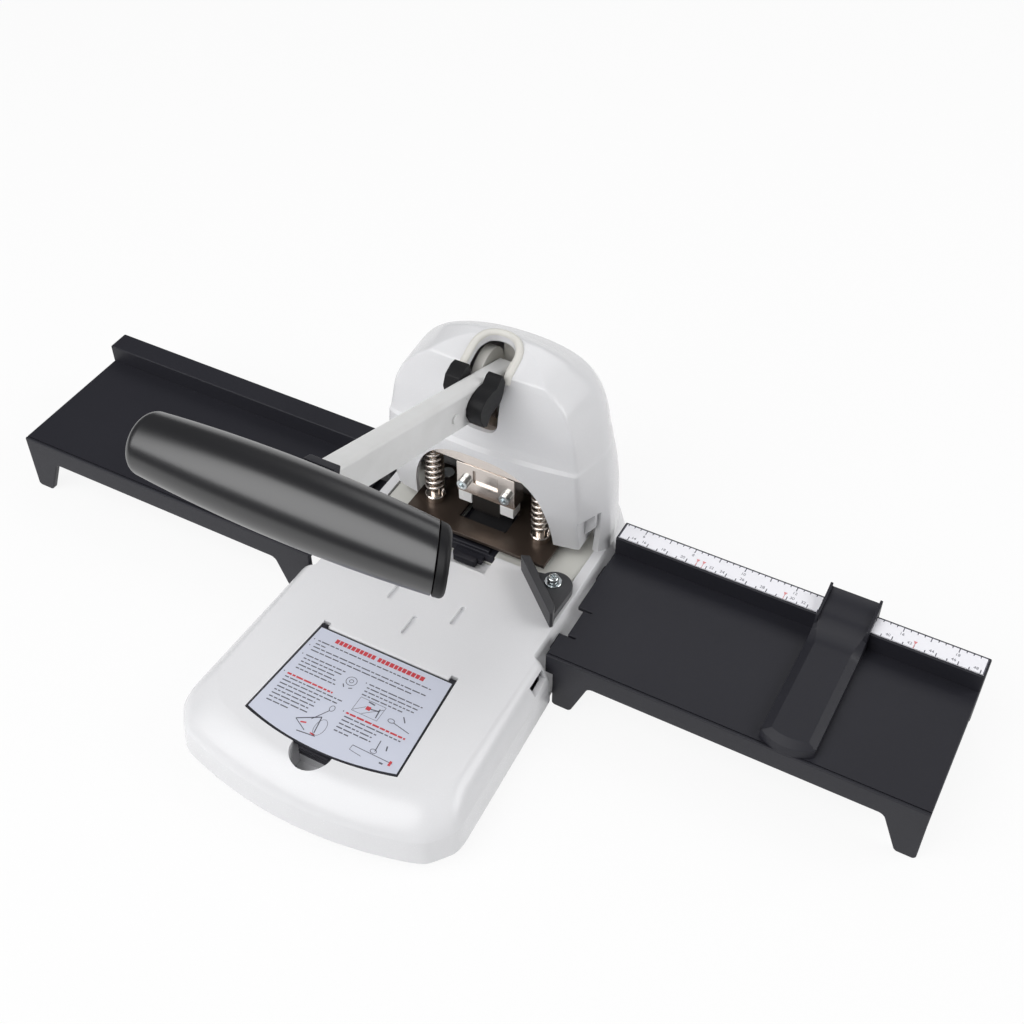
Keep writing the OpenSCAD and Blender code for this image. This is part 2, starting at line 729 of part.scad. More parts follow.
// The rear is round at the deck and squarer towards the roof
head_rear_power = 0.88;
roof_row = 8;
function head_half(row, inset) =
    let (f = row[1] + inset, cx = row[2] - inset, cy = row[3] + inset, w = row[4] - inset, wy = row[5],
        r = row[6] - inset, steps = 5, rear_steps = 8,
            power = mix(1, head_rear_power, max(0, row[0] / head_h - 0.5) * 2))
    concat([for (i = [0:steps]) [cx * i / steps, mix(f, cy, pow(i / steps, 2))]],
        [for (i = [0:rear_steps]) let (a = 90 * i / rear_steps)
            [w * pow(cos(a), power), wy + (r - wy) * pow(sin(a), power)]]);
// The roof's rows move down by the inset, so the roof keeps its thickness
function roof_drop(i, inset) = i < roof_row ? 0 : i == roof_row ? inset / 2 : inset;
function head_rings(inset) =
    let (last = len(head_rows) - (inset > 0 ? 2 : 1))
    [for (i = [0:last])
        lift(closed(head_half(head_rows[i], inset)),
            deck_h + head_rows[i][0] - roof_drop(i, inset) - (i == 0 && inset > 0 ? past : 0))];
lever_slot_rise = 67.3;
lever_slot_low = deck_h + lever_slot_rise;
lever_slot_end = 70.5;
lever_slot_start = 30;
lever_slot_corner = 6;
slot_rim_low = deck_h + head_rows[roof_row][0];
skirt_low = table_h + 5;
niche_in = 50.5;
niche_front = 60.4;
niche_back = 69;
niche_reach = niche_front - 18;
niche_top = deck_h + 27.8;
module lever_slot(grow) {
    half = lever_slot_half + grow;
    low = lever_slot_low - grow;
    high = deck_h + head_h + 2 * past;
    mid = lever_slot_end - lever_slot_half;
    front_slab(lever_slot_start, mid) {
        translate([-half, low + lever_slot_corner]) square([2 * half, high - low - lever_slot_corner]);
        translate([lever_slot_corner - half, low])
            square([2 * (half - lever_slot_corner), lever_slot_corner + past]);
        for (s = [-1, 1]) translate([s * (half - lever_slot_corner), low + lever_slot_corner])
            circle(lever_slot_corner);
    }
    rod_z(half, 0, mid, low + lever_slot_corner, high);
}
module head_cover() {
    arch_power = 0.78;
    arch = [for (a = [0:7.5:180])
        [arch_half * sign(cos(a)) * pow(abs(cos(a)), arch_power), deck_h + arch_h * pow(sin(a), arch_power)]];
    color("white") difference() {
        union() {
            difference() {
                loft(head_rings(0));
                loft(head_rings(head_wall));
            }
            intersection() {
                loft(head_rings(eps));
                both_sides() {
                    block([niche_in - head_wall, niche_reach, skirt_low], [niche_in, niche_back, niche_top]);
                    block([niche_in - head_wall, niche_reach, niche_top],
                        [deck_half, niche_back, niche_top + head_wall]);
                    block([niche_in - head_wall, niche_back, deck_h],
                        [deck_half, niche_back + head_wall, niche_top + head_wall]);
                }
            }
            difference() {
                intersection() {
                    loft(head_rings(-slot_rim_h));
                    lever_slot(slot_rim_w);
                    block([-deck_half, 0, slot_rim_low], [deck_half, rear_y, deck_h + head_h + 2 * past]);
                }
                loft(head_rings(head_wall / 2));
            }
        }
        lever_slot(0);
        front_slab(lever_slot_start, niche_front) polygon(arch);
        block([-niche_in, lever_slot_start, deck_h - past], [niche_in, niche_front, skirt_low]);
        both_sides() block([niche_in, lever_slot_start, deck_h - past], [table_in, niche_front, niche_top]);
    }
}

// Lever pivot
module pivot_pin() {
    color("silver") rod_x(pivot_r, -cheek_out - 2, cheek_out + 2, pivot_y, pivot_z);
}
module pivot_clips() {
    clip_t = 1;
    color("dimgray") both_sides() difference() {
        rod_x(pivot_r + 2.5, cheek_out, cheek_out + clip_t, pivot_y, pivot_z);
        rod_x(pivot_r + run_gap, cheek_out - past, cheek_out + clip_t + past, pivot_y, pivot_z);
    }
}

// Tables: drawn for the right side, the left one is its mirror image
leg_inset = 3.7;
leg_t = 3.2;
leg_round = 1.2;
// Round of radius r in the corner between two directions, from the first to the second
function fillet(corner, first, second, r) =
    let (half = acos(first * second) / 2, steps = 4, centre = corner + unit(first + second) * r / sin(half),
        from = corner + first * r / tan(half) - centre, to = corner + second * r / tan(half) - centre)
    [for (i = [0:steps]) centre + r * unit(mix(from, to, i / steps))];
// A leg with one upright side at x0 and one that slopes towards the middle of the table
module leg(x0, side) {
    corner = [x0 + side * leg_w_top, table_h - skirt_h];
    foot = [x0 + side * leg_w_foot, leg_round];
    polygon(concat([[x0, corner[1]], [x0, leg_round], [x0 + side * leg_round, 0],
        foot - [side * leg_round, leg_round], foot],
            fillet(corner, unit(foot - corner), [side, 0], leg_fillet)));
}
table_notch_y = 5;
table_notch_len = 18;
table_notch_d = 3.4;
table_slit_w = 0.9;
table_slit_d = 7.5;
module table_legs() {
    for (y = [table_front, table_rear - leg_t]) front_slab(y, y + leg_t) {
        leg(table_in + leg_inset, 1);
        leg(table_out, -1);
    }
}
module table() {
    skirt_z = table_h - skirt_h;
    color("dimgray") {
        difference() {
            union() {
                block([table_in, table_front, skirt_z], [table_out, table_rear, table_h]);
                block([table_in, fence_y, table_h - eps], [table_out, table_rear, fence_top]);
            }
            block([table_in - past, table_front + table_t, skirt_z - past],
                [table_out - table_t, fence_y + eps, table_h - table_t]);
            block([table_in - past, fence_y, skirt_z - past],
                [table_out - table_t, fence_y + table_t, table_h - table_t]);
            block([table_in + table_t, fence_y + table_t, skirt_z - past],
                [table_out - table_t, table_rear - table_t, fence_top - table_t]);
            block([table_in - past, table_notch_y, table_h - table_t - past],
                [table_in + table_notch_d, table_notch_y + table_notch_len, table_h + past]);
            for (y = [table_notch_y, table_notch_y + table_notch_len - table_slit_w])
                block([table_in - past, y, table_h - table_t - past],
                    [table_in + table_slit_d, y + table_slit_w, table_h + past]);
        }
        table_legs();
        for (y = tongue_at)
            block([table_in - tongue_reach, y, tongue_top - tongue_t],
                [table_in + tongue_w, y + tongue_w, tongue_top]);
        for (y = tongue_at)
            block([table_in + table_notch_d, y, tongue_top - eps],
                [table_in + tongue_w, y + tongue_w, table_h - table_t + eps]);
    }
}
module right_table() {
    table();
}
module left_table() {
    mirror([1, 0, 0]) table();
}
module ruler_strip() {
    color("white") block([table_in + ruler_margin, fence_y + ruler_margin, fence_top],
        [table_out - ruler_margin, table_rear - ruler_margin, fence_top + ruler_t]);
}

// Paper stop
module paper_stop() {
    low = table_h + slide_gap;
    half = stop_w / 2;
    bevel = stop_h * 0.45;
    hook_low = fence_top + ruler_t + slide_gap;
    hook_front = fence_y - free_gap - saddle_t;
    hook_rear = table_rear + free_gap + saddle_t;
    saddle_top = hook_low + saddle_t;
    rear_low = low + 1.5;
    tip = table_front;
    bow = 4;
    rail_w = 2.2;
    lip_t = 3.2;
    trough_half = half - bevel - rail_w;
    trough_floor = low + stop_h * 0.45;
    ear_w = 1.6;
    gusset = 5;
    dish = 1.8;
    bend_y = mix(hook_front, hook_rear, 0.6);
    bend_z = saddle_top + tail_h * 0.6;
    bow_r = (half * half + bow * bow) / (2 * bow);
    color("dimgray") translate([stop_x, 0, 0]) {
        difference() {
            intersection() {
                front_slab(tip, hook_front + saddle_t)
                    polygon([[-half, low], [half, low], [half, low + stop_h - bevel],
                    [half - bevel, low + stop_h], [bevel - half, low + stop_h],
                        [-half, low + stop_h - bevel]]);
                union() {
                    rod_z(bow_r, 0, tip + bow_r, low - past, low + stop_h + past);
                    block([-half, tip + bow, low - past], [half, hook_front + saddle_t, low + stop_h + past]);
                }
            }
            // Trough between the rails, round at its front end
            intersection() {
                block([-trough_half, tip, trough_floor], [trough_half, hook_front, low + stop_h + past]);
                union() {
                    rod_z(bow_r - lip_t, 0, tip + bow_r, low, low + stop_h + 2 * past);
                    block([-half, tip + bow_r, low], [half, hook_front + past, low + stop_h + 2 * past]);
                }
            }
        }
        both_sides() side_slab(half - ear_w, half)
            polygon([[hook_front - gusset, low], [hook_front + eps, low],
            [hook_front + eps, saddle_top], [hook_front - gusset, low + stop_h - bevel]]);
        difference() {
            side_slab(-half, half) polygon([[hook_front, low], [hook_front + saddle_t, low],
                [hook_front + saddle_t, hook_low],
                [hook_rear - saddle_t, hook_low], [hook_rear - saddle_t, rear_low], [hook_rear, rear_low],
                [hook_rear, saddle_top + tail_h], [bend_y, bend_z],
                [hook_front + saddle_t, saddle_top + tail_h * 0.1], [hook_front, low + stop_h + past]]);
            // Shallow dish between the stop's ears
            side_slab(ear_w - half, half - ear_w) polygon([[hook_rear + past, saddle_top + tail_h - dish],
                [bend_y, bend_z - dish],
                [hook_front + saddle_t + dish, saddle_top],
                    [hook_front + saddle_t + dish, saddle_top + 2 * tail_h],
                [hook_rear + past, saddle_top + 2 * tail_h]]);
        }
    }
}

// Corner guides: an upright face at an angle across the deck, with a screwed foot behind it
guide_in_y = 32.5;
guide_slope = 0.9;
guide_tip_y = guide_in_y - guide_slope * (guide_tip_x - guide_in_x);
guide_run = unit([guide_tip_x - guide_in_x, guide_tip_y - guide_in_y]);
guide_out = [-guide_run[1], guide_run[0]];
guide_screw_x = 48.3;
guide_screw_y = 28.8;
guide_low = deck_h + slide_gap;
guide_thread = 9;
guide_lobe_r = 8.6;
guide_lobe_x = guide_screw_x + 1.2;
washer_r = guide_screw_r * 2.1;
washer_t = 1;
function guide_at(along, across) =
    [guide_in_x, guide_in_y] + guide_run * along + guide_out * across;
module corner_guide() {
    face_len = norm([guide_tip_x - guide_in_x, guide_tip_y - guide_in_y]);
    slot_half = guide_screw_r + guide_travel + slide_gap;
    slot_angle = atan2(guide_out[1], guide_out[0]);
    color("dimgray") difference() {
        union() {
            translate([0, 0, guide_low]) linear_extrude(guide_h)
                polygon([guide_at(0, 0), guide_at(face_len, 0), guide_at(face_len, guide_wall * 0.4),
                    guide_at(face_len - guide_wall, guide_wall), guide_at(guide_wall * 0.5, guide_wall)]);
            translate([0, 0, guide_low]) linear_extrude(guide_foot_t) {
                polygon([guide_at(guide_wall, 0.5), guide_at(face_len - 1, 0.5),
                    [guide_lobe_x + guide_lobe_r, guide_screw_y - 2],
                        [guide_lobe_x, guide_screw_y + guide_lobe_r * 0.6]]);
                translate([guide_lobe_x, guide_screw_y - 1]) circle(guide_lobe_r);
            }
        }
        translate([guide_screw_x, guide_screw_y, guide_low - past]) rotate([0, 0, slot_angle]) {
            translate([-guide_travel, -guide_screw_r - run_gap, 0])
                cube([2 * guide_travel, 2 * (guide_screw_r + run_gap), guide_foot_t + 2 * past]);
            for (s = [-1, 1]) translate([s * guide_travel, 0, 0])
                cylinder(r = guide_screw_r + run_gap, h = guide_foot_t + 2 * past);
        }
        // Room for the washer beside the upright face
        rod_z(washer_r + guide_travel + free_gap, guide_screw_x, guide_screw_y, guide_low + guide_foot_t,
            guide_low + guide_h + past);
    }
}
module corner_guide_right() {
    corner_guide();
}
module corner_guide_left() {
    mirror([1, 0, 0]) corner_guide();
}
washer_low = guide_low + guide_foot_t + slide_gap;
module guide_washers() {
    color("silver") both_sides() difference() {
        rod_z(washer_r, guide_screw_x, guide_screw_y, washer_low, washer_low + washer_t);
        rod_z(guide_screw_r + run_gap, guide_screw_x, guide_screw_y, washer_low - past,
            washer_low + washer_t + past);
    }
}
module guide_screws() {
    head_r = guide_screw_r * 1.7;
    head_h = 3.2;
    seat = washer_low + washer_t;
    recess_w = 1;
    color("silver") both_sides() difference() {
        union() {
            rod_z(head_r, guide_screw_x, guide_screw_y, seat, seat + head_h);
            rod_z(guide_screw_r, guide_screw_x, guide_screw_y, deck_h - guide_thread, seat + eps);
        }
        for (turn = [0, 90]) translate([guide_screw_x, guide_screw_y, seat + head_h]) rotate([0, 0, turn])
            cube([head_r * 1.2, recess_w, recess_w * 2], center = true);
    }
}

// Lever: drawn level along -Y from the pivot, then raised to its rest angle
module on_lever() {
    translate([0, pivot_y, pivot_z]) rotate([-lever_rest, 0, 0]) children();
}
lever_half = lever_w / 2;
lever_in = lever_half - lever_sheet;
lever_top = lever_d / 2 - lever_drop;
lever_low = -lever_d / 2 - lever_drop;
lever_end_r = core_r * 1.6;
rivet_u = 53.5;
rivet_v = -3.4;
rivet_r = 1.5;
roller_pin_r = 2.5;
module lever_arm() {
    color("white") on_lever() difference() {
        intersection() {
            front_slab(-lever_len - lever_end_r, lever_d / 2) polygon([[-lever_half, lever_low],
                [-lever_half, lever_top - lever_bevel], [lever_bevel - lever_half, lever_top],
                [lever_half - lever_bevel, lever_top], [lever_half, lever_top - lever_bevel],
                    [lever_half, lever_low],
                [lever_in, lever_low], [lever_in, lever_top - lever_sheet],
                [-lever_in, lever_top - lever_sheet], [-lever_in, lever_low]]);
            union() {
                rod_x(lever_d / 2, -lever_half - past, lever_half + past, 0, -lever_drop);
                block([-lever_half - past, lever_end_r - lever_len, lever_low],
                    [lever_half + past, 0, lever_top]);
                rod_x(lever_end_r, -lever_half - past, lever_half + past, -lever_len, 0);
                block([-lever_half - past, -lever_len, -lever_end_r],
                    [lever_half + past, 2 * lever_end_r - lever_len, lever_top]);
            }
        }
        rod_x(pivot_r + run_gap, -lever_half - past, lever_half + past, 0, 0);
        rod_x(roller_pin_r + run_gap, -lever_half - past, lever_half + past, -roller_arm, 0);
        rod_x(core_r + run_gap, -lever_half - past, lever_half + past, -lever_len, 0);
        rod_x(rivet_r + run_gap, -lever_half - past, lever_half + past, -rivet_u, rivet_v);
    }
}
module lever_hub() {
    hub_r = lever_top - lever_sheet - slide_gap;
    color("lightgray") on_lever() difference() {
        rod_x(hub_r, -lever_in, lever_in, 0, 0);
        rod_x(pivot_r + run_gap, -lever_in - past, lever_in + past, 0, 0);
    }
}
module press_roller() {
    color("silver") on_lever() difference() {
        rod_x(roller_r, -lever_in + free_gap, lever_in - free_gap, -roller_arm, 0);
        rod_x(roller_pin_r + run_gap, -lever_in, lever_in, -roller_arm, 0);
    }
}
module roller_pin() {
    color("silver") on_lever() rod_x(roller_pin_r, -lever_half, lever_half, -roller_arm, 0);
}
// Outline of a cheek cap as [-distance along the lever, height above the pivot line]
cap_outline = [[-27, 11.6], [-23.5, 7.5], [-23.5, 2], [-24.5, -1], [-26, -2.8], [-28.7, -3.5], [-32.7, -5.4],
    [-35.2, -10.4], [-38.4, -10], [-43, -5.6], [-44.2, -1.6], [-43.2, 1.5], [-40.3, 4.2], [-35.8, 6.2],
        [-31.7, 7],
    [-29.3, 10.6]];
// The left cap is only the six-sided upper part
nut_outline = [[-27, 11.6], [-23.5, 7.5], [-23.5, 1], [-27.5, -4], [-32, -3.4], [-35, 1.2], [-34.6, 6.6],
    [-30.4, 10.6]];
module cheek_cap_right() {
    color("dimgray") on_lever() side_slab(lever_half, lever_half + cap_t) polygon(cap_outline);
}
module cheek_cap_left() {
    color("dimgray") on_lever() side_slab(-lever_half - cap_t, -lever_half) polygon(nut_outline);
}
module lever_rivet() {
    head_t = 1;
    color("silver") on_lever() {
        rod_x(rivet_r, -lever_half - eps, lever_half + eps, -rivet_u, rivet_v);
        both_sides() rod_x(rivet_r * 1.5, lever_half, lever_half + head_t, -rivet_u, rivet_v);
    }
}
collar_len = 5;
lever_collar_wall = 2;
collar_back = lever_len - grip_r_mid - 1;
module lever_collar() {
    half = lever_half + lever_collar_wall;
    color("dimgray") on_lever() difference() {
        block([-half, -collar_back, lever_low - lever_collar_wall],
            [half, collar_len - collar_back, lever_top + lever_collar_wall]);
        block([-lever_half - run_gap, -collar_back - past, lever_low - run_gap],
            [lever_half + run_gap, collar_len - collar_back + past, lever_top + run_gap]);
    }
}
handle_half = handle_len / 2;
grip_half = handle_half - end_cap_t;
seam = 0.3;
plug_t = 2.5;
slant_reach = grip_r_mid * tan(end_slant);
core_end = grip_half - core_r * tan(end_slant) - free_gap;
// Radius of the barrel grip at a distance from its middle
function grip_r(x) = mix(grip_r_mid, grip_r_end, pow(x / grip_half, 2));
// The barrel with its left end rounded, long enough on the right for the slanted cut
module barrel() {
    steps = 16;
    round_steps = 5;
    x0 = end_round - handle_half;
    x1 = handle_half + slant_reach;
    outline = concat([[0, -handle_half]],
        [for (i = [0:round_steps - 1]) let (a = 90 * i / round_steps)
            [grip_r(x0) - end_round * (1 - sin(a)), x0 - end_round * cos(a)]],
        [for (i = [0:steps]) let (x = mix(x0, x1, i / steps)) [grip_r(x), x]], [[0, x1]]);
    rotate([0, 90, 0]) rotate_extrude($fn = 96) polygon(outline);
}
// Everything to the right of the slanted plane that cuts the middle line at x
module right_of(x) {
    reach = 3 * grip_r_mid;
    translate([x, 0, 0]) rotate([0, 0, end_slant]) block([0, -reach, -reach], [reach, reach, reach]);
}
module on_handle() {
    on_lever() translate([handle_shift, -lever_len, 0]) children();
}
module handle_core() {
    color("gray") on_handle() rod_x(core_r, -grip_half, core_end, 0, 0);
}
module handle_grip() {
    color("dimgray") difference() {
        on_handle() difference() {
            barrel();
            right_of(grip_half - seam);
            rod_x(core_r + run_gap, -grip_half, handle_half, 0, 0);
            rod_x(plug_r + run_gap, -handle_half - past, plug_t - handle_half, 0, 0);
        }
        // Mouth for the lever's end
        on_lever() block([-lever_half - free_gap, -lever_len - lever_end_r - free_gap, lever_low - free_gap],
            [lever_half + free_gap, grip_r_mid - lever_len + past, lever_end_r + free_gap]);
    }
}
module handle_end_caps() {
    color("dimgray") on_handle() {
        difference() {
            intersection() {
                barrel();
                right_of(grip_half);
            }
            right_of(handle_half);
        }
        rod_x(plug_r, -handle_half, plug_t - handle_half, 0, 0);
    }
}

// Ram: everything that goes down with the lever
ram_front = post_y - bush_r - 0.9;
ram_rear = punch_y + 4.5;
stem_half = 12;
stem_front = punch_y - 4.3;
stem_rear = punch_y + 1.7;
stem_top = crosshead_top + 14;
pad_half = lever_in - 0.7;
pad_rear = punch_y + 3.9;
roller_low = pivot_z + roller_arm * sin(lever_rest) - roller_r;
pad_top = roller_low - 0.3;
holder_front = punch_y - 5;
holder_rear = punch_y + 4.5;
holder_neck = 4;
holder_top = crosshead_z - holder_neck;
holder_low = holder_top - holder_h;
bush_bore = post_r + run_gap;
module ram_crosshead() {
    color("silver") difference() {
        union() {
            block([-crosshead_half, ram_front, crosshead_z], [crosshead_half, ram_rear, crosshead_top]);
            block([-stem_half, stem_front, crosshead_top - eps], [stem_half, stem_rear, stem_top]);
            block([-pad_half, stem_front, stem_top - eps], [pad_half, pad_rear, pad_top]);
            block([-stem_half, stem_front, holder_top], [stem_half, holder_rear, crosshead_z + eps]);
        }
        both_sides() rod_z(bush_r + run_gap, post_x, post_y, crosshead_z - past, crosshead_top + past);
    }
}
module ram_bushes() {
    color("goldenrod") both_sides() difference() {
        rod_z(bush_r, post_x, post_y, crosshead_z, crosshead_top);
        rod_z(bush_bore, post_x, post_y, crosshead_z - past, crosshead_top + past);
    }
}
clamp_x = holder_half - nut_size / 2 - 0.6;
clamp_z = holder_low + 7;
clamp_r = 1.6;
module punch_holder() {
    pad_w = 13;
    pad_d = 1.2;
    pad_low = holder_low + holder_h * 0.42;
    pad_margin = 3;
    color("silver") difference() {
        block([-holder_half, holder_front, holder_low], [holder_half, holder_rear, holder_top]);
        block([-pad_w / 2, holder_front - past, pad_low],
            [pad_w / 2, holder_front + pad_d, holder_top - pad_margin]);
        both_sides() rod_y(clamp_r + run_gap, clamp_x, holder_front - past, holder_front + 7, clamp_z);
    }
}
module rod_y(r, x, y0, y1, z) {
    translate([x, y0, z]) rotate([-90, 0, 0]) cylinder(r = r, h = y1 - y0);
}
module clamp_screws() {
    head_h = 3;
    socket_r = clamp_head_r * 0.55;
    color("lightsteelblue") both_sides() difference() {
        union() {
            rod_y(clamp_head_r, clamp_x, holder_front - head_h, holder_front, clamp_z);
            rod_y(clamp_r, clamp_x, holder_front - eps, holder_front + 6, clamp_z);
        }
        translate([clamp_x, holder_front - head_h - past, clamp_z]) rotate([-90, 0, 0])
            cylinder(r = socket_r, h = head_h, $fn = 6);
    }
}
nut_h = 6.3;
module square_nuts() {
    color("white") both_sides()
        block([clamp_x - nut_size / 2, holder_front, holder_low - nut_h],
            [clamp_x + nut_size / 2, holder_rear - 2, holder_low]);
}
lever_stroke = 28;
ram_stroke = roller_arm * (sin(lever_rest) - sin(lever_rest - lever_stroke));
disc_top = channel_floor + 2.5 + disc_t;
punch_tip = disc_top + ram_stroke + 0.35;
module punch_blade() {
    shank_half = clamp_x - nut_size / 2 - 0.2;
    shank_low = punch_tip + 1.5;
    color("dimgray") {
        block([-shank_half, holder_front + 0.5, shank_low], [shank_half, holder_rear - 0.5, holder_low]);
        translate([0, punch_y, punch_tip]) linear_extrude(shank_low - punch_tip + eps) {
            square([punch_len - punch_w, punch_w], center = true);
            for (s = [-1, 1]) translate([s * (punch_len - punch_w) / 2, 0]) circle(punch_w / 2);
        }
    }
}

// Cutting disc and its holder
holder_tray_low = channel_floor + slide_gap;
holder_tray_top = bed_top - slide_gap;
disc_seat = channel_floor + 2.4;
module disc_holder() {
    bar_half = disc_holder_half - 2.7;
    bar_front = bed_front + 0.6;
    bar_rear = bar_front + 2;
    bar_top = bed_top + 1.6;
    neck_half = bar_half - 2.3;
    step_half = neck_half - 2;
    step_rear = tab_front + 3;
    step_top = bed_top - 1.2;
    neck_top = bed_top - 2.4;
    color("dimgray") difference() {
        union() {
            block([-disc_holder_half, bed_front, holder_tray_low],
                [disc_holder_half, channel_end, holder_tray_top]);
            block([-neck_half, step_rear - eps, holder_tray_low], [neck_half, bed_front + eps, neck_top]);
            block([-step_half, tab_front, holder_tray_low], [step_half, step_rear, step_top]);
            block([-bar_half, bar_front, holder_tray_low], [bar_half, bar_rear, bar_top]);
        }
        rod_z(disc_r + slide_gap, 0, punch_y, disc_seat, bed_top + past);
    }
}
module cutting_disc() {
    color("ivory") rod_z(disc_r, 0, punch_y, disc_seat + slide_gap, disc_top);
}

base_housing();
base_plate();
rubber_feet();
base_screws();
bed();
frame_cheek_left();
frame_cheek_right();
frame_bolts();
tie_bolt();
punch_plate();
plate_spacer();
plate_screws();
guide_posts();
post_collars();
return_spring_left();
return_spring_right();
head_cover();
pivot_pin();
pivot_clips();
left_table();
right_table();
ruler_strip();
storage_tray();
guide_screws();
guide_washers();
lever_arm();
lever_hub();
press_roller();
roller_pin();
cheek_cap_left();
cheek_cap_right();
lever_rivet();
lever_collar();
handle_core();
handle_grip();
handle_end_caps();
ram_crosshead();
ram_bushes();
punch_holder();
punch_blade();
clamp_screws();
square_nuts();
paper_stop();
storage_lid();
label_plate();
disc_holder();
cutting_disc();
corner_guide_left();
corner_guide_right();
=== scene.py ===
"""Looks of a heavy duty hole punch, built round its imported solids.

Lengths are in millimetres until a mesh is made.
"""
import json
import random
from math import acos, asin, atan, copysign, cos, pi, radians, sin, tan

import bmesh
import bpy
import numpy as np
from mathutils import Matrix, Vector
from mathutils.bvhtree import BVHTree


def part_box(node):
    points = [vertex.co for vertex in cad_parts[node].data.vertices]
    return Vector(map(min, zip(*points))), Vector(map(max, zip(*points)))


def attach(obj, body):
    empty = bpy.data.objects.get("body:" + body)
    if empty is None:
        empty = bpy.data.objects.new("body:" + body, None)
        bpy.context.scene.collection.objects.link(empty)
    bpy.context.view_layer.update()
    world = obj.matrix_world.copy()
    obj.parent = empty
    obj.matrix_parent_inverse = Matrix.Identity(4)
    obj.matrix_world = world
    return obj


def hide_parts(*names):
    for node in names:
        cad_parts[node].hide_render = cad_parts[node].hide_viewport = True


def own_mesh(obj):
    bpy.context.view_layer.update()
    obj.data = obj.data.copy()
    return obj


MM = 0.001
WELD = 1e-6
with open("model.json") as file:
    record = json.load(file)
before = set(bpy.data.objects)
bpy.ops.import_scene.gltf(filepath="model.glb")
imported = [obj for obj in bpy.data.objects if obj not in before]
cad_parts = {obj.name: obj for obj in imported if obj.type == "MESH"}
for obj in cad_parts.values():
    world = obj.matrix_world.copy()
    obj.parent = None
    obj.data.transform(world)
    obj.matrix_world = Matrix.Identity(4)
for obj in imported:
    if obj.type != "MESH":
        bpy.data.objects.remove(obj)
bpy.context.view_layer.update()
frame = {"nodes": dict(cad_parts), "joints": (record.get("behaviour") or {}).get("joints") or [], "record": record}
nodes = frame["nodes"]
scene = bpy.context.scene
random.seed(7)
body_of_node = {n: b for b, members in frame["record"]["behaviour"]["bodies"].items() for n in members}
slot_of_node = {s["node"]: s["material_slot"] for s in frame["record"]["subparts"]}


def span(node):
    """Lowest and highest corner of a solid, in millimetres."""
    low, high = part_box(node)
    return low / MM, high / MM


def joint_at(name):
    """A joint's place, in millimetres."""
    found = [j for j in frame["joints"] if j["name"] == name]
    return Vector(found[0]["pos_m"]) / MM


# Camera, fitted to the edges of both tables
VIEW_AZIMUTH = radians(28.59)
VIEW_ELEVATION = radians(45.18)
VIEW_ROLL = radians(-0.15)
VIEW_DISTANCE = 718.17
VIEW_TARGET = Vector((7.66, 63.13, 33.5))
LENS = 50.9
SENSOR = 36.0
CLIP_START = 0.01


def add_camera():
    back = Vector((sin(VIEW_AZIMUTH) * cos(VIEW_ELEVATION),
                   -cos(VIEW_AZIMUTH) * cos(VIEW_ELEVATION), sin(VIEW_ELEVATION)))
    right = Vector((cos(VIEW_AZIMUTH), sin(VIEW_AZIMUTH), 0))
    up = back.cross(right)
    rolled_right = right * cos(VIEW_ROLL) + up * sin(VIEW_ROLL)
    rolled_up = up * cos(VIEW_ROLL) - right * sin(VIEW_ROLL)
    turn = Matrix((rolled_right, rolled_up, back)).transposed().to_4x4()
    data = bpy.data.cameras.new("photo_camera")
    data.lens = LENS
    data.sensor_width = SENSOR
    data.clip_start = CLIP_START
    camera = bpy.data.objects.new("photo_camera", data)
    scene.collection.objects.link(camera)
    camera.matrix_world = Matrix.Translation((VIEW_TARGET + back * VIEW_DISTANCE) * MM) @ turn
    scene.camera = camera


# Stage
FLOOR_HALF = 2600
FLOOR_FRONT = -640
FLOOR_REAR = 3200
BACKDROP_H = 700
FLOOR_COLOUR = (0.9, 0.9, 0.9, 1)
FLOOR_ROUGHNESS = 0.9
FLOOR_SHOW = 0.9
FILL_COLOUR = (0.97, 0.98, 1.0, 1)
FILL_STRENGTH = 0.15
LAMP_AIM = Vector((0, 20, 40))
# Name, place, size and watts of each lamp
LAMPS = (
    ("key", (-480, -1000, 1200), (1600, 1700), 26),
    ("rear", (-100, 1000, 1150), (900, 700), 2.8),
    ("side", (1350, 520, 950), (1000, 900), 11.5))


def put(node, values):
    """Sets inputs of a shader node: a socket is linked, anything else is set on the input itself."""
    for name, value in values.items():
        if isinstance(value, bpy.types.NodeSocket):
            node.id_data.links.new(value, node.inputs[name])
        else:
            node.inputs[name].default_value = value


def add_node(tree, kind, values, operation=None):
    node = tree.nodes.new("ShaderNode" + kind)
    if operation:
        node.operation = operation
    put(node, values)
    return node


def seen_ray(tree):
    """1 for a ray from the camera, from a mirror-like surface or through glass."""
    rays = tree.nodes.new("ShaderNodeLightPath").outputs
    first = add_node(tree, "Math", {0: rays["Is Camera Ray"], 1: rays["Is Glossy Ray"]}, "MAXIMUM")
    both = add_node(tree, "Math", {0: first.outputs[0], 1: rays["Is Transmission Ray"]}, "MAXIMUM")
    return both.outputs[0]


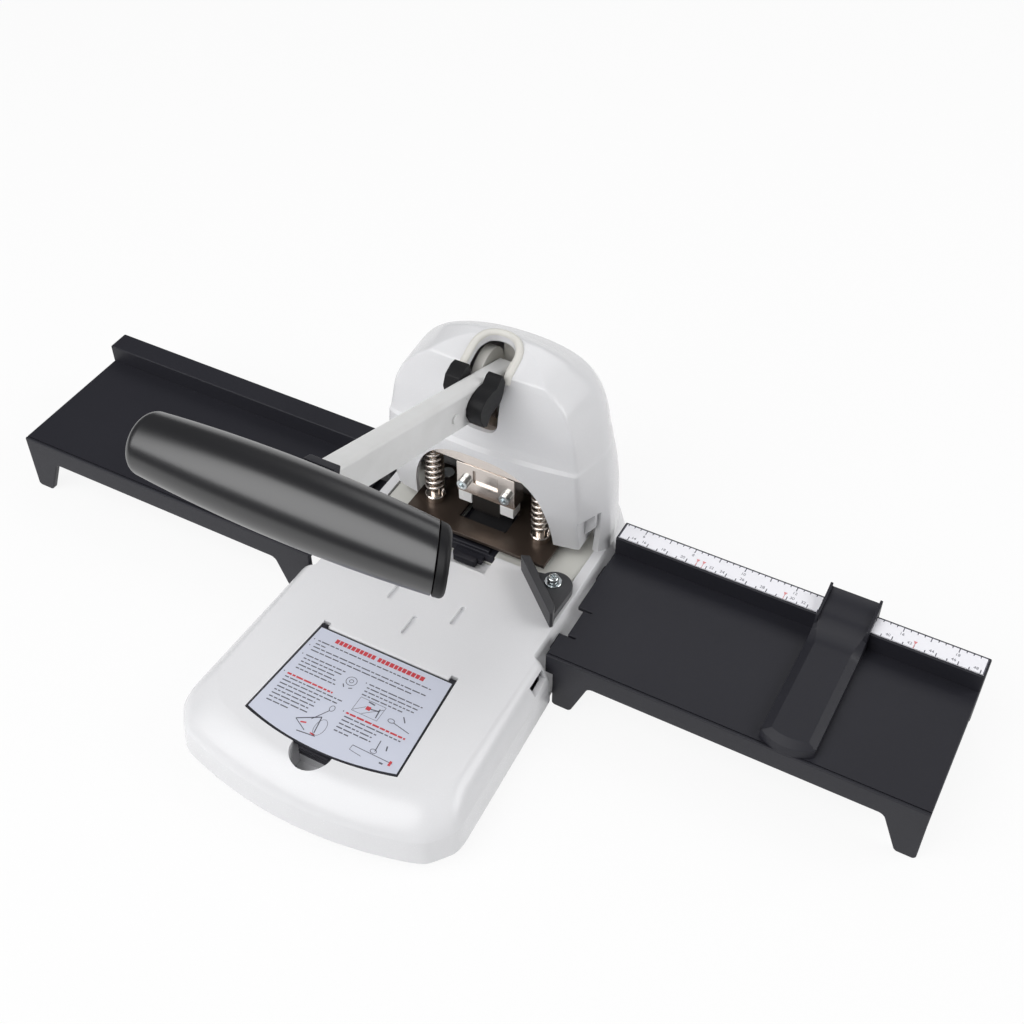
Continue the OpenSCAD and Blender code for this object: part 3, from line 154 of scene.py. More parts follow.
def add_floor():
    floor = make("floor", [(-FLOOR_HALF, FLOOR_FRONT, 0), (FLOOR_HALF, FLOOR_FRONT, 0),
                           (FLOOR_HALF, FLOOR_REAR, 0), (-FLOOR_HALF, FLOOR_REAR, 0),
                           (FLOOR_HALF, FLOOR_REAR, BACKDROP_H), (-FLOOR_HALF, FLOOR_REAR, BACKDROP_H)],
                 [(0, 1, 2, 3), (3, 2, 4, 5)])
    look, tree, base = new_look("floor_white", FLOOR_ROUGHNESS)
    put(base, {"Base Color": FLOOR_COLOUR})
    glow = tree.nodes.new("ShaderNodeEmission")
    share = add_node(tree, "Math", {0: seen_ray(tree), 1: FLOOR_SHOW}, "MULTIPLY")
    blend = add_node(tree, "MixShader", {0: share.outputs[0], 1: base.outputs[0], 2: glow.outputs[0]})
    put(tree.nodes["Material Output"], {"Surface": blend.outputs[0]})
    floor.data.materials.append(look)


def add_world():
    world = bpy.data.worlds.new("studio")
    scene.world = world
    world.use_nodes = True
    put(world.node_tree.nodes["Background"], {"Color": FILL_COLOUR, "Strength": FILL_STRENGTH})


def add_lamp(name, place, size, watts):
    data = bpy.data.lights.new(name, "AREA")
    data.shape = "RECTANGLE"
    data.size = size[0] * MM
    data.size_y = size[1] * MM
    data.energy = watts
    lamp = bpy.data.objects.new(name, data)
    scene.collection.objects.link(lamp)
    lamp.location = Vector(place) * MM
    aim = LAMP_AIM * MM - lamp.location
    lamp.rotation_mode = "QUATERNION"
    lamp.rotation_quaternion = aim.to_track_quat("-Z", "Y")


# Meshes
BEVEL_STEPS = 2
CORNER_ANGLE = 35
FLAT_ANGLE = 0.5
TUBE_SIDES = 12
TURNED_SIDES = 64
SIDES = (("left", -1), ("right", 1))


def make(name, points, faces):
    mesh = bpy.data.meshes.new(name)
    mesh.from_pydata([Vector(p) * MM for p in points], [], faces)
    mesh.update()
    obj = bpy.data.objects.new(name, mesh)
    scene.collection.objects.link(obj)
    return obj


def settle(obj):
    """Turns an object's modifiers into plain mesh."""
    graph = bpy.context.evaluated_depsgraph_get()
    made = bpy.data.meshes.new_from_object(obj.evaluated_get(graph))
    obj.modifiers.clear()
    obj.data = made


def shade(obj, angle):
    """Smooth shading that stays crisp at edges and flat on flat faces."""
    obj.data.shade_smooth()
    obj.data.set_sharp_from_angle(angle=radians(angle))
    even = obj.modifiers.new("even", "WEIGHTED_NORMAL")
    even.keep_sharp = True
    settle(obj)


def bevel(obj, width, limit):
    """Rounds the edges that are picked by their angle or by their weight."""
    edge = obj.modifiers.new("edge", "BEVEL")
    edge.width = width * MM
    edge.segments = BEVEL_STEPS
    edge.limit_method = limit
    edge.angle_limit = radians(CORNER_ANGLE)
    edge.use_clamp_overlap = False
    settle(obj)


def bevel_outer(obj, width, angle=CORNER_ANGLE):
    """Rounds the edges that stand out and leaves inner corners sharp."""
    shape = bmesh.new()
    shape.from_mesh(obj.data)
    weight = shape.edges.layers.float.new("bevel_weight_edge")
    for e in shape.edges:
        if e.is_convex and e.calc_face_angle(0) > radians(angle):
            e[weight] = 1
    shape.to_mesh(obj.data)
    shape.free()
    bevel(obj, width, "WEIGHT")


def carve(obj, cutter, operation="DIFFERENCE"):
    cut = obj.modifiers.new("cut", "BOOLEAN")
    cut.operation = operation
    cut.solver = "EXACT"
    cut.object = cutter
    settle(obj)
    bpy.data.objects.remove(cutter)


def dress(obj, body, slot, look, *stood_for):
    """Gives a piece its material, its body and the solids that it stands for; the slot is not used."""
    obj.data.materials.clear()
    obj.data.materials.append(LOOKS[look])
    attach(obj, body)
    if stood_for:
        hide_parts(*stood_for)
    return obj


def stand_for(obj, node, look, angle):
    """A piece that takes the place of one solid on its own body."""
    shade(obj, angle)
    return dress(obj, body_of_node[node], slot_of_node[node], look, node)


def add_extra(obj, name, angle, look, body="base", slot="white_shell"):
    """A named piece that stands for no solid."""
    obj.name = name
    shade(obj, angle)
    dress(obj, body, slot, look)


def copy_of(node):
    """A clean copy of a solid's mesh with its flat faces joined up."""
    shape = bmesh.new()
    shape.from_mesh(nodes[node].data)
    bmesh.ops.remove_doubles(shape, verts=shape.verts, dist=WELD)
    bmesh.ops.dissolve_limit(shape, angle_limit=radians(FLAT_ANGLE), verts=shape.verts, edges=shape.edges)
    shape.verts.index_update()
    points = [v.co / MM for v in shape.verts]
    faces = [[v.index for v in f.verts] for f in shape.faces]
    shape.free()
    return make(node + "_finish", points, faces)


def soften(node, look, width):
    """A solid's own shape with soft edges."""
    obj = copy_of(node)
    bevel_outer(obj, width)
    return stand_for(obj, node, look, 50)


def block(low, high):
    points = [(x, y, z) for x in (low[0], high[0]) for y in (low[1], high[1]) for z in (low[2], high[2])]
    faces = [(0, 1, 3, 2), (4, 6, 7, 5), (0, 4, 5, 1), (2, 3, 7, 6), (0, 2, 6, 4), (1, 5, 7, 3)]
    return make("block", points, faces)


def side_block(s, low, high):
    """A block given for the right side, put on the right (s = 1) or on the left (s = -1)."""
    ends = sorted((s * low[0], s * high[0]))
    return block((ends[0], *low[1:]), (ends[1], *high[1:]))


def join_faces(parts):
    """One list of points and faces from several."""
    points, faces = [], []
    for some_points, some_faces in parts:
        start = len(points)
        points += some_points
        faces += [[i + start for i in f] for f in some_faces]
    return points, faces


def skin(rings):
    """Quads between rings of equal count, closed at both ends."""
    count = len(rings[0])
    last = (len(rings) - 1) * count
    faces = []
    for k in range(0, last, count):
        for i in range(count):
            j = (i + 1) % count
            faces.append((k + i, k + j, k + count + j, k + count + i))
    faces.append(tuple(range(count - 1, -1, -1)))
    faces.append(tuple(last + i for i in range(count)))
    return [tuple(p) for r in rings for p in r], faces


def prism(outline, place, low, high):
    """A flat outline made thick; place turns two numbers and a height into a point."""
    rings = [[place(p, q, h) for p, q in outline] for h in (low, high)]
    obj = make("prism", *skin(rings))
    shape = bmesh.new()
    shape.from_mesh(obj.data)
    bmesh.ops.recalc_face_normals(shape, faces=shape.faces)
    shape.to_mesh(obj.data)
    shape.free()
    return obj


def full_turn(count):
    """Angles at equal steps all the way round."""
    return [2 * pi * i / count for i in range(count)]


def quarter(count):
    """Angles at equal steps over a quarter turn, with both ends."""
    return np.linspace(0, pi / 2, count)


def along_z(profile, x, y):
    """A turned piece from points of radius and height."""
    turns = full_turn(TURNED_SIDES)
    return skin([[(x + r * cos(a), y + r * sin(a), z) for a in turns] for r, z in profile])


def tube(path, radius, upward):
    """A round tube along a path; upward gives a direction across the path at each point."""
    rings = []
    for i, point in enumerate(path):
        run = (path[min(i + 1, len(path) - 1)] - path[max(i - 1, 0)]).normalized()
        side = run.cross(upward[i]).normalized()
        rise = side.cross(run)
        rings.append([point + (side * cos(a) + rise * sin(a)) * radius for a in full_turn(TUBE_SIDES)])
    return skin(rings)


def mirrored(half):
    """A right half outline, front to back, closed with its mirror image."""
    return half + [(-x, y) for x, y in reversed(half[1:-1])]


def even_ring(outline, count, passes):
    """Points at equal steps round an outline, with its corners softened."""
    loop = np.array(outline + outline[:1])
    run = np.concatenate([[0], np.cumsum(np.linalg.norm(np.diff(loop, axis=0), axis=1))])
    steps = np.linspace(0, run[-1], count, endpoint=False)
    ring = np.stack([np.interp(steps, run, loop[:, k]) for k in (0, 1)], axis=1)
    for _ in range(passes):
        ring = (np.roll(ring, 1, 0) + 2 * ring + np.roll(ring, -1, 0)) / 4
    return ring


def mix(a, b, t):
    return a + (b - a) * t


# Materials
def new_look(name, roughness, metallic=0.0):
    look = bpy.data.materials.new(name)
    look.use_nodes = True
    shader = look.node_tree.nodes["Principled BSDF"]
    put(shader, {"Metallic": metallic, "Roughness": roughness})
    return look, look.node_tree, shader


def noise(tree, scale, detail=3.0, stretch=(1, 1, 1)):
    """Noise in the object's own metres."""
    coords = tree.nodes.new("ShaderNodeTexCoord")
    place = add_node(tree, "Mapping", {"Scale": stretch, "Vector": coords.outputs["Object"]})
    values = {"Scale": scale, "Detail": detail, "Vector": place.outputs["Vector"]}
    return add_node(tree, "TexNoise", values).outputs["Fac"]


def spread(tree, value, low, high, start=0.3, end=0.7):
    """A noise value spread between two numbers."""
    values = {"Value": value, "From Min": start, "From Max": end, "To Min": low, "To Max": high}
    return add_node(tree, "MapRange", values).outputs["Result"]


def two_tone(tree, value, first, second):
    """A colour between two, chosen by a value from 0 to 1; the first may come from another node."""
    tint = tree.nodes.new("ShaderNodeMix")
    tint.data_type = "RGBA"
    colours = [s for s in tint.inputs if s.type == "RGBA"]
    if isinstance(first, tuple):
        colours[0].default_value = (*first, 1)
    else:
        tree.links.new(first, colours[0])
    colours[1].default_value = (*second, 1)
    tree.links.new(value, tint.inputs["Factor"])
    return [s for s in tint.outputs if s.type == "RGBA"][0]


def add_bump(tree, shader, value, strength, depth):
    bump = add_node(tree, "Bump", {"Strength": strength, "Distance": depth * MM, "Height": value})
    put(shader, {"Normal": bump.outputs["Normal"]})


PATCH = 18.0
GRAIN_BUMP = 0.25


def plain_look(name, first, second, roughness, vary, grain, relief, metallic=0.0, stretch=(1, 1, 1),
               specular=0.5):
    """Two close tones in broad patches, uneven gloss and a fine grain."""
    look, tree, shader = new_look(name, roughness, metallic)
    broad = spread(tree, noise(tree, PATCH), 0, 1)
    fine = noise(tree, grain, 2.0, stretch)
    put(shader, {"Specular IOR Level": specular, "Base Color": two_tone(tree, broad, first, second),
                 "Roughness": spread(tree, fine, roughness - vary, roughness + vary)})
    add_bump(tree, shader, fine, GRAIN_BUMP, relief)
    return look


def chipped_paint(name):
    """White paint with a few small dark chips and faint soiling."""
    look, tree, shader = new_look(name, 0.3)
    soil = spread(tree, noise(tree, 60.0, 5.0), 0, 1, 0.45, 0.8)
    paint = two_tone(tree, soil, (0.80, 0.80, 0.795), (0.74, 0.74, 0.73))
    chips = spread(tree, noise(tree, 200.0, 1.0), 0, 1, 0.80, 0.82)
    put(shader, {"Base Color": two_tone(tree, chips, paint, (0.12, 0.11, 0.1))})
    add_bump(tree, shader, noise(tree, 500.0, 3.0), 0.15, 0.05)
    return look


# Name of each look, its two tones, its roughness and how far that varies, and its grain's scale and depth
PLAIN_LOOKS = {
    "white_shell": ("white_abs", (0.80, 0.80, 0.815), (0.785, 0.785, 0.80), 0.25, 0.03, 2500, 0.003),
    "ivory_bed": ("ivory_paint", (0.72, 0.715, 0.67), (0.69, 0.685, 0.64), 0.35, 0.04, 1500, 0.01),
    "black_plastic": ("black_abs", (0.0165, 0.0165, 0.0225), (0.0185, 0.0185, 0.025), 0.5, 0.04,
                      2200, 0.015),
    "cap_black": ("cap_black", (0.008, 0.008, 0.009), (0.01, 0.01, 0.0115), 0.5, 0.04, 1500, 0.01),
    "guide_black": ("guide_black", (0.043, 0.043, 0.047), (0.048, 0.048, 0.052), 0.45, 0.04, 1500, 0.01),
    "black_grip": ("grip_black", (0.01, 0.01, 0.0115), (0.012, 0.012, 0.014), 0.28, 0.004, 240, 0.001),
    "rubber": ("rubber", (0.02, 0.02, 0.02), (0.03, 0.03, 0.03), 0.8, 0.05, 1200, 0.06),
    "steel": ("zinc_steel", (0.72, 0.76, 0.77), (0.64, 0.68, 0.70), 0.2, 0.05, 800, 0.01),
    "nickel": ("nickel", (0.86, 0.79, 0.73), (0.78, 0.71, 0.65), 0.2, 0.05, 500, 0.01),
    "dark_nickel": ("dark_nickel", (0.085, 0.063, 0.05), (0.07, 0.052, 0.041), 0.33, 0.04, 900, 0.005),
    # The punch blade is near black as painted shade, for the dark of the shadowed die hole round it.
    "blade_painted_shade": ("blade_painted_shade", (0.01, 0.01, 0.01), (0.014, 0.013, 0.012), 0.35, 0.05, 900, 0.01),
    "frame_paint": ("frame_paint", (0.76, 0.745, 0.70), (0.72, 0.705, 0.66), 0.4, 0.05, 900, 0.01),
    "sheet_steel": ("sheet_steel", (0.42, 0.42, 0.43), (0.36, 0.36, 0.37), 0.34, 0.06, 300, 0.03),
    "label": ("label_film", (0.63, 0.655, 0.755), (0.61, 0.635, 0.735), 0.34, 0.04, 900, 0.004),
    "ruler": ("ruler_film", (0.95, 0.945, 0.99), (0.93, 0.925, 0.97), 0.4, 0.04, 900, 0.004),
    "brass": ("brass", (0.62, 0.44, 0.2), (0.52, 0.36, 0.16), 0.28, 0.05, 600, 0.02),
    # The cutting disc is near black as painted shade: its colour stands for the shadow in the die hole under the
    # punch.
    "disc": ("disc_painted_shade", (0.02, 0.02, 0.022), (0.03, 0.03, 0.032), 0.4, 0.05, 900, 0.01),
    "grey_ink": ("grey_ink", (0.09, 0.09, 0.115), (0.12, 0.12, 0.15), 0.5, 0.05, 900, 0.004),
    "red_ink": ("red_ink", (0.62, 0.06, 0.075), (0.55, 0.05, 0.06), 0.5, 0.05, 900, 0.004),
    "pale_red_ink": ("pale_red_ink", (0.78, 0.31, 0.32), (0.73, 0.27, 0.28), 0.5, 0.05, 900, 0.004),
    # The square nuts get a flat near-white instead of metal: a painted reflection of bright surroundings in their
    # plating.
    "nuts_painted_reflection": ("nuts_painted_reflection", (0.9, 0.9, 0.89), (0.86, 0.86, 0.85), 0.25, 0.04, 500, 0.01)}
LOOK_EXTRAS = {
    "black_plastic": {"specular": 0.35},
    "cap_black": {"specular": 0.25},
    "guide_black": {"specular": 0.6},
    "black_grip": {"stretch": (6, 0.2, 0.2), "specular": 0.9},
    "steel": {"metallic": 1.0},
    "nickel": {"metallic": 1.0, "stretch": (1, 1, 6)},
    "dark_nickel": {"metallic": 0.55},
    "sheet_steel": {"metallic": 1.0, "stretch": (1, 10, 1)},
    "brass": {"metallic": 1.0}}


def make_looks():
    looks = {key: plain_look(*row, **LOOK_EXTRAS.get(key, {})) for key, row in PLAIN_LOOKS.items()}
    looks["lever_paint"] = chipped_paint("lever_paint")
    return looks


LOOKS = make_looks()

# Sizes taken from the solids
base_low, base_high = span("base_housing")
table_low, table_high = span("right_table")
ruler_low, ruler_high = span("ruler_strip")
label_low, label_high = span("label_plate")
bed_low, bed_high = span("bed")
tab_low = span("disc_holder")[0]
lid_high = span("storage_lid")[1]
plate_high = span("punch_plate")[1]
PIVOT = joint_at("lever_pivot")
LID_AXIS = joint_at("lid_hinge")
DECK = base_high.z
DECK_T = 3.2
DECK_UNDER = DECK - DECK_T
FENCE_Y = ruler_low.y - 1
TABLE_FRONT = table_low.y
# How far a cutter reaches past a face, the usual clearance and the overlap of joined pieces
PAST = 1.0
FREE = 0.4
PRESS = 0.02

# Base housing
BASE_WALL = 2.8
EDGE_H = 12
EDGE_FRONT = 15
EDGE_SIDE = 2
FRONT_BOW = 9
FRONT_CORNER = 20
REAR_ROUND = 59
BASE_HALF = 72
DECK_HALF = 61
BASE_TAPER = 3
BASE_FLARE = 6.5
FRONT_LEAN = 2
SIDE_LEAN = 1
REAR_LEAN = 3
EDGE_POWER = 1.6
FACET_START = radians(-55)
FACET_END = radians(-22)
STEP_Y = TABLE_FRONT - 2.2
BASE_POINTS = 480


def edge_drop(z):
    """How far the deck's soft edge has fallen back at a height, from 0 to 1."""
    e = min(1.0, max(0.0, (z - DECK + EDGE_H) / EDGE_H))
    return 1 - (1 - e ** EDGE_POWER) ** (1 / EDGE_POWER)


def base_outline(z, inset):
    rise = (z - base_low.z) / (DECK - base_low.z)
    drop = edge_drop(z)

    def half_at(lower):
        return mix(lower - SIDE_LEAN * rise, DECK_HALF, drop) - inset

    wide = half_at(BASE_HALF)
    waist = half_at(BASE_HALF - BASE_TAPER)
    rear_half = mix(DECK_HALF + BASE_FLARE, DECK_HALF, rise) - EDGE_SIDE * drop - inset
    front = base_low.y + FRONT_LEAN * rise + EDGE_FRONT * drop + inset
    rear = base_high.y - REAR_LEAN * (rise + drop) - inset
    middle = base_high.y - REAR_ROUND
    tilt = atan(2 * FRONT_BOW / (wide - FRONT_CORNER))
    start = wide - FRONT_CORNER * (1 - sin(tilt))
    half = [(start * t, front + FRONT_BOW * t * t) for t in np.linspace(0, 1, 24, endpoint=False)]
    centre = (wide - FRONT_CORNER, front + FRONT_BOW + FRONT_CORNER * cos(tilt))
    turns = np.concatenate([np.linspace(tilt - pi / 2, FACET_START, 5), np.linspace(FACET_END, 0, 5)])
    half += arc(*centre, FRONT_CORNER, turns)
    half += [(waist, STEP_Y - inset), (rear_half, STEP_Y - inset)]
    half += [(rear_half * cos(a), middle + (rear - middle) * sin(a))
             for a in quarter(24)]
    return mirrored(half)


def base_solid(inset, low, top):
    start = DECK - EDGE_H
    turns = quarter(20)[1:]
    heights = [low, start] + [mix(start, top, sin(a) ** (2 / EDGE_POWER)) for a in turns]
    rings = [[(x, y, z) for x, y in even_ring(base_outline(z, inset), BASE_POINTS, 2)] for z in heights]
    return make("base_shell", *skin(rings))


# Storage lid
LID_BORDER = 1.55
LID_FRONT = label_low.y - LID_BORDER
LID_CORNER = 5.7
LID_BACK = label_high.y + 0.55
LID_HALF = 35.5
LID_T = 1.9
LID_LEDGE = 3
LID_GAP = 0.1
HINGE_GAP = 0.5


def lid_outline(grow, hinge_gap=0.0):
    """Outline of the lid, grown on all sides."""
    half_front = label_high.x + LID_BORDER + grow
    back = LID_BACK + grow + hinge_gap
    half = [(half_front * t, LID_FRONT + LID_CORNER * t * t - grow) for t in np.linspace(0, 1, 12)]
    return mirrored(half + [(LID_HALF + grow, back), (0, back)])


def flat(x, y, z):
    return (x, y, z)


def upright(x, z, y):
    return (x, y, z)


def sideways(y, z, x):
    return (x, y, z)


# Openings of the deck
DECK_SLOTS = [(-17, -7), (17, -7), (0, -22.5)]
SLOT_LEN = 12.4
SLOT_W = 2.5
SLOT_D = 1.6
WINDOW_Y = -20.5
WINDOW_LEN = 12
WINDOW_H = 5
WELL_REAR_HALF = 32.4
POCKET_HALF = 15
POCKET_DEPTH = 7.6
POCKET_FRONT = tab_low.y - 6 - FREE
NOTCH_R = 10
NOTCH_Y = LID_FRONT - FREE
LID_GROOVE = 3.4
LID_GROOVE_D = 2.0
GROOVE_HALF = 32
EAR_IN = 32.1
EAR_OUT = 35.9
EAR_FRONT = 3
EAR_REAR = 2


def stadium(x, y, width, length):
    """A slot with round ends along Y."""
    reach = (length - width) / 2
    turns = np.linspace(0, pi, 9)
    front = [(x - width / 2 * cos(a), y - reach - width / 2 * sin(a)) for a in turns]
    rear = [(x + width / 2 * cos(a), y + reach + width / 2 * sin(a)) for a in turns]
    return front + rear


def arc(x, y, r, turns):
    return [(x + r * cos(a), y + r * sin(a)) for a in turns]


def circle(x, y, r):
    return arc(x, y, r, full_turn(48))


def base_cutters():
    well_half = bed_high.x + FREE
    step = plate_high.y + FREE
    top = DECK + PAST
    under = DECK_UNDER - PAST
    recess = lid_high.z - LID_T - LID_GAP
    cutters = [
        block((-well_half, bed_low.y - FREE, under), (well_half, step + FREE, top)),
        block((-WELL_REAR_HALF, step, under), (WELL_REAR_HALF, bed_high.y + FREE, top)),
        block((-POCKET_HALF, POCKET_FRONT, DECK - POCKET_DEPTH), (POCKET_HALF, bed_low.y, top)),
        prism(circle(0, NOTCH_Y, NOTCH_R), flat, under, top),
        prism(lid_outline(FREE, HINGE_GAP), flat, recess, top),
        prism(lid_outline(-LID_LEDGE), flat, under, top),
    ]
    cutters += [prism(stadium(x, y, SLOT_W, SLOT_LEN), flat, DECK - SLOT_D, top) for x, y in DECK_SLOTS]
    start, end = label_high.y, label_high.y + LID_GROOVE
    groove = [(start, DECK - LID_GROOVE_D), (end, DECK), (end, top), (start, top)]
    cutters.append(prism(groove, sideways, -GROOVE_HALF, GROOVE_HALF))
    ear = (EAR_IN, lid_high.y - EAR_FRONT, recess), (EAR_OUT, LID_AXIS.y + EAR_REAR, top)
    window = ((DECK_HALF - BASE_WALL - EDGE_SIDE, WINDOW_Y - WINDOW_LEN / 2, DECK_UNDER - WINDOW_H),
              (BASE_HALF + PAST, WINDOW_Y + WINDOW_LEN / 2, DECK_UNDER))
    for s in (-1, 1):
        cutters += [side_block(s, *ear), side_block(s, *window)]
    return cutters


def add_base():
    shell = base_solid(0, base_low.z, DECK)
    carve(shell, base_solid(BASE_WALL, base_low.z - PAST, DECK_UNDER))
    half = POCKET_HALF + BASE_WALL
    pocket = block((-half, POCKET_FRONT - BASE_WALL, DECK - POCKET_DEPTH - BASE_WALL),
                   (half, bed_low.y - FREE, DECK_UNDER + PRESS))
    carve(shell, pocket, "UNION")
    for cutter in base_cutters():
        carve(shell, cutter)
    stand_for(shell, "base_housing", "white_shell", 32)


# Head cover: height above the deck, front, crease x, crease y, half width, widest y, rear
HEAD_ROWS = [
    (0, 46.5, 49.7, 52.4, 60, 65, 118),
    (27.8, 43, 51.2, 47.4, 59.2, 65, 117),
    (42.8, 41.8, 51, 46.8, 57.6, 66, 113.5),
    (54.8, 41, 50.2, 46.6, 55.3, 67.2, 109.6),
    (57.8, 41.2, 50, 46.6, 54.7, 67.3, 109),
    (59.4, 43.4, 49.6, 47.6, 54.1, 67.6, 108.5),
    (64, 44.8, 48.8, 47.9, 52.9, 68.6, 107.2),
    (75.8, 46.4, 46.8, 48.6, 49.7, 71.2, 103.5),
    (87, 49.3, 42.2, 50.2, 43.6, 73, 97.4),
    (94, 51.2, 35, 52, 36.6, 71.4, 87.6),
    (96.9, 52.5, 30.7, 53.2, 33, 70.7, 83.5),
    (97.7, 53.4, 29.4, 54, 31.8, 70.6, 82.6),
    (100.3, 59.5, 24, 60, 26, 70.8, 79),
    (102.8, 66, 16, 66.2, 18, 71, 75.5),
    (103.8, 68.5, 10, 68.6, 10.8, 70.5, 73)]
HEAD_REAR_POWER = 0.88
HEAD_WALL = 2.2
HEAD_POINTS = 260
ROOF_ROW = 9
STEPS_PER_ROW = 5
STRAIGHT_COLUMNS = (1, 3)


def gentle(xs, ys, at):
    """Values on a smooth curve through points that never overshoots them."""
    h = np.diff(xs)
    d = np.diff(ys) / h
    m = np.concatenate([[d[0]], np.zeros(len(d) - 1), [d[-1]]])
    for i in range(1, len(d)):
        if d[i - 1] * d[i] > 0:
            before, after = 2 * h[i] + h[i - 1], h[i] + 2 * h[i - 1]
            m[i] = (before + after) / (before / d[i - 1] + after / d[i])
    i = np.clip(np.searchsorted(xs, at) - 1, 0, len(h) - 1)
    t = (at - xs[i]) / h[i]
    return ((1 + 2 * t) * (1 - t) ** 2 * ys[i] + t * (1 - t) ** 2 * h[i] * m[i]
            + t * t * (3 - 2 * t) * ys[i + 1] + t * t * (t - 1) * h[i] * m[i + 1])


def straight_or_gentle(rows, column, heights):
    """The front face runs straight between rows, so that its brow stays crisp; the rest is curved."""
    if column in STRAIGHT_COLUMNS:
        return np.interp(heights, rows[:, 0], rows[:, column])
    return gentle(rows[:, 0], rows[:, column], heights)


def head_outline(row, inset):
    height, front, crease_x, crease_y, half, wide_y, rear = row
    power = mix(1, HEAD_REAR_POWER, max(0, height / HEAD_ROWS[-1][0] - 0.5) * 2)
    f, cx, cy, w, r = front + inset, crease_x - inset, crease_y + inset, half - inset, rear - inset
    outline = [(cx * t, mix(f, cy, t * t)) for t in np.linspace(0, 1, 16)]
    turns = quarter(24)
    outline += [(w * cos(a) ** power, wide_y + (r - wide_y) * sin(a) ** power) for a in turns[:-1]]
    return mirrored(outline + [(0, r)])


def head_solid(inset):
    last = len(HEAD_ROWS) - (1 if inset > 0 else 0)
    rows = np.array(HEAD_ROWS[:last], float)
    levels = np.linspace(0, last - 1, STEPS_PER_ROW * (last - 1) + 1)
    heights = np.interp(levels, range(last), rows[:, 0])
    columns = [straight_or_gentle(rows, k, heights) for k in range(1, 7)]
    rings = []
    for i, height in enumerate(heights):
        drop = inset * min(1, max(0, (levels[i] - ROOF_ROW + 1) / 2))
        low = PAST if i == 0 and inset > 0 else 0
        outline = head_outline((height, *[c[i] for c in columns]), inset)
        rings.append([(x, y, DECK + height - drop - low) for x, y in even_ring(outline, HEAD_POINTS, 2)])
    return make("head_shell", *skin(rings))


# Lever slot, arch and niches of the head
SLOT_HALF = 9.5
SLOT_LOW = DECK + 67.3
SLOT_TOP = DECK + 110
SLOT_MID = 61
SLOT_CORNER = 6
SLOT_START = 30
ARCH_HALF = 38
ARCH_H = 53.4
ARCH_POWER = 0.78
ARCH_STEPS = 48
NICHE_IN = 50.5
NICHE_OUT = 66
NICHE_FRONT = 60.4
NICHE_BACK = 69
NICHE_REACH = 42.4
NICHE_TOP = DECK + 27.8
PANEL_Y = 57
PANEL_T = 1.2
PANEL_DROP = 17
LINER_RECESS = 0.04
LINER_INSET = 0.05
SKIRT_LOW = table_high.z - 5.2
RIM_R = 1.9
RIM_LOW = DECK + 94.5
RIM_HUB_Y = 66
RIM_ARC = (radians(30), radians(74))
CAST_OUT = 60
CAST_TOP = DECK + 130
# Corners of the wall behind the lever slot and of the right-hand wall inside the head
SLOT_BACK = ((-5.4, 80, DECK + 66), (5.4, 81.2, DECK + 94))
HEAD_RIB = ((24.6, 78, DECK - 0.5), (56, 79.5, DECK + 62))
RIB_BITE = 0.5


def slot_front_outline():
    right = [(SLOT_HALF - SLOT_CORNER + SLOT_CORNER * sin(a), SLOT_LOW + SLOT_CORNER * (1 - cos(a)))
             for a in quarter(8)]
    right.append((SLOT_HALF, SLOT_TOP))
    return right + [(-x, z) for x, z in reversed(right)]


def arch_outline():
    turns = [pi * i / ARCH_STEPS for i in range(ARCH_STEPS + 1)]
    return [(ARCH_HALF * copysign(abs(cos(a)) ** ARCH_POWER, cos(a)),
             DECK + ARCH_H * abs(sin(a)) ** ARCH_POWER - (PAST if i in (0, ARCH_STEPS) else 0))
            for i, a in enumerate(turns)]


def rim_path(outer):
    """Where the raised rim of the lever slot lies on the roof, with the surface's direction there."""
    tree = BVHTree.FromObject(outer, bpy.context.evaluated_depsgraph_get())
    reach = SLOT_HALF + RIM_R
    casts = []
    for a in np.linspace(*RIM_ARC, 30):
        out = Vector((0, -cos(a), sin(a)))
        casts.append((Vector((reach, RIM_HUB_Y, PIVOT.z)) + out * CAST_OUT, -out))
    casts += [((reach * cos(a), SLOT_MID + reach * sin(a), CAST_TOP), (0, 0, -1)) for a in quarter(10)]
    half = []
    for start, way in casts:
        place, normal = tree.ray_cast(Vector(start) * MM, Vector(way))[:2]
        half.append((place / MM, normal))
    half = [(p, n) for p, n in half if p.z > RIM_LOW]
    flip = Vector((-1, 1, 1))
    return half + [(p * flip, n * flip) for p, n in reversed(half[:-1])]


def add_head():
    outer = head_solid(0)
    rim = rim_path(outer)
    cutters = [head_solid(HEAD_WALL), prism(slot_front_outline(), upright, SLOT_START, SLOT_MID),
               prism(circle(0, SLOT_MID, SLOT_HALF), flat, SLOT_LOW + SLOT_CORNER, SLOT_TOP),
               prism(arch_outline(), upright, SLOT_START, NICHE_FRONT),
               block((-NICHE_IN, SLOT_START, DECK - PAST), (NICHE_IN, NICHE_FRONT, SKIRT_LOW))]
    niche = (NICHE_IN, SLOT_START, DECK - PAST), (NICHE_OUT, NICHE_FRONT, NICHE_TOP)
    cutters += [side_block(s, *niche) for _, s in SIDES]
    for cutter in cutters:
        carve(outer, cutter)
    stand_for(outer, "head_cover", "white_shell", 30)
    bead = make("slot_rim", *tube([p for p, n in rim], RIM_R, [n for p, n in rim]))
    add_extra(bead, "slot_rim", 60, "frame_paint")
    add_extra(block(*SLOT_BACK), "slot_back", 30, "frame_paint")
    for name, s in SIDES:
        wall = side_block(s, *HEAD_RIB)
        carve(wall, head_solid(HEAD_WALL - RIB_BITE), "INTERSECT")
        add_extra(wall, "head_rib_" + name, 30, "white_shell")
    add_niches()


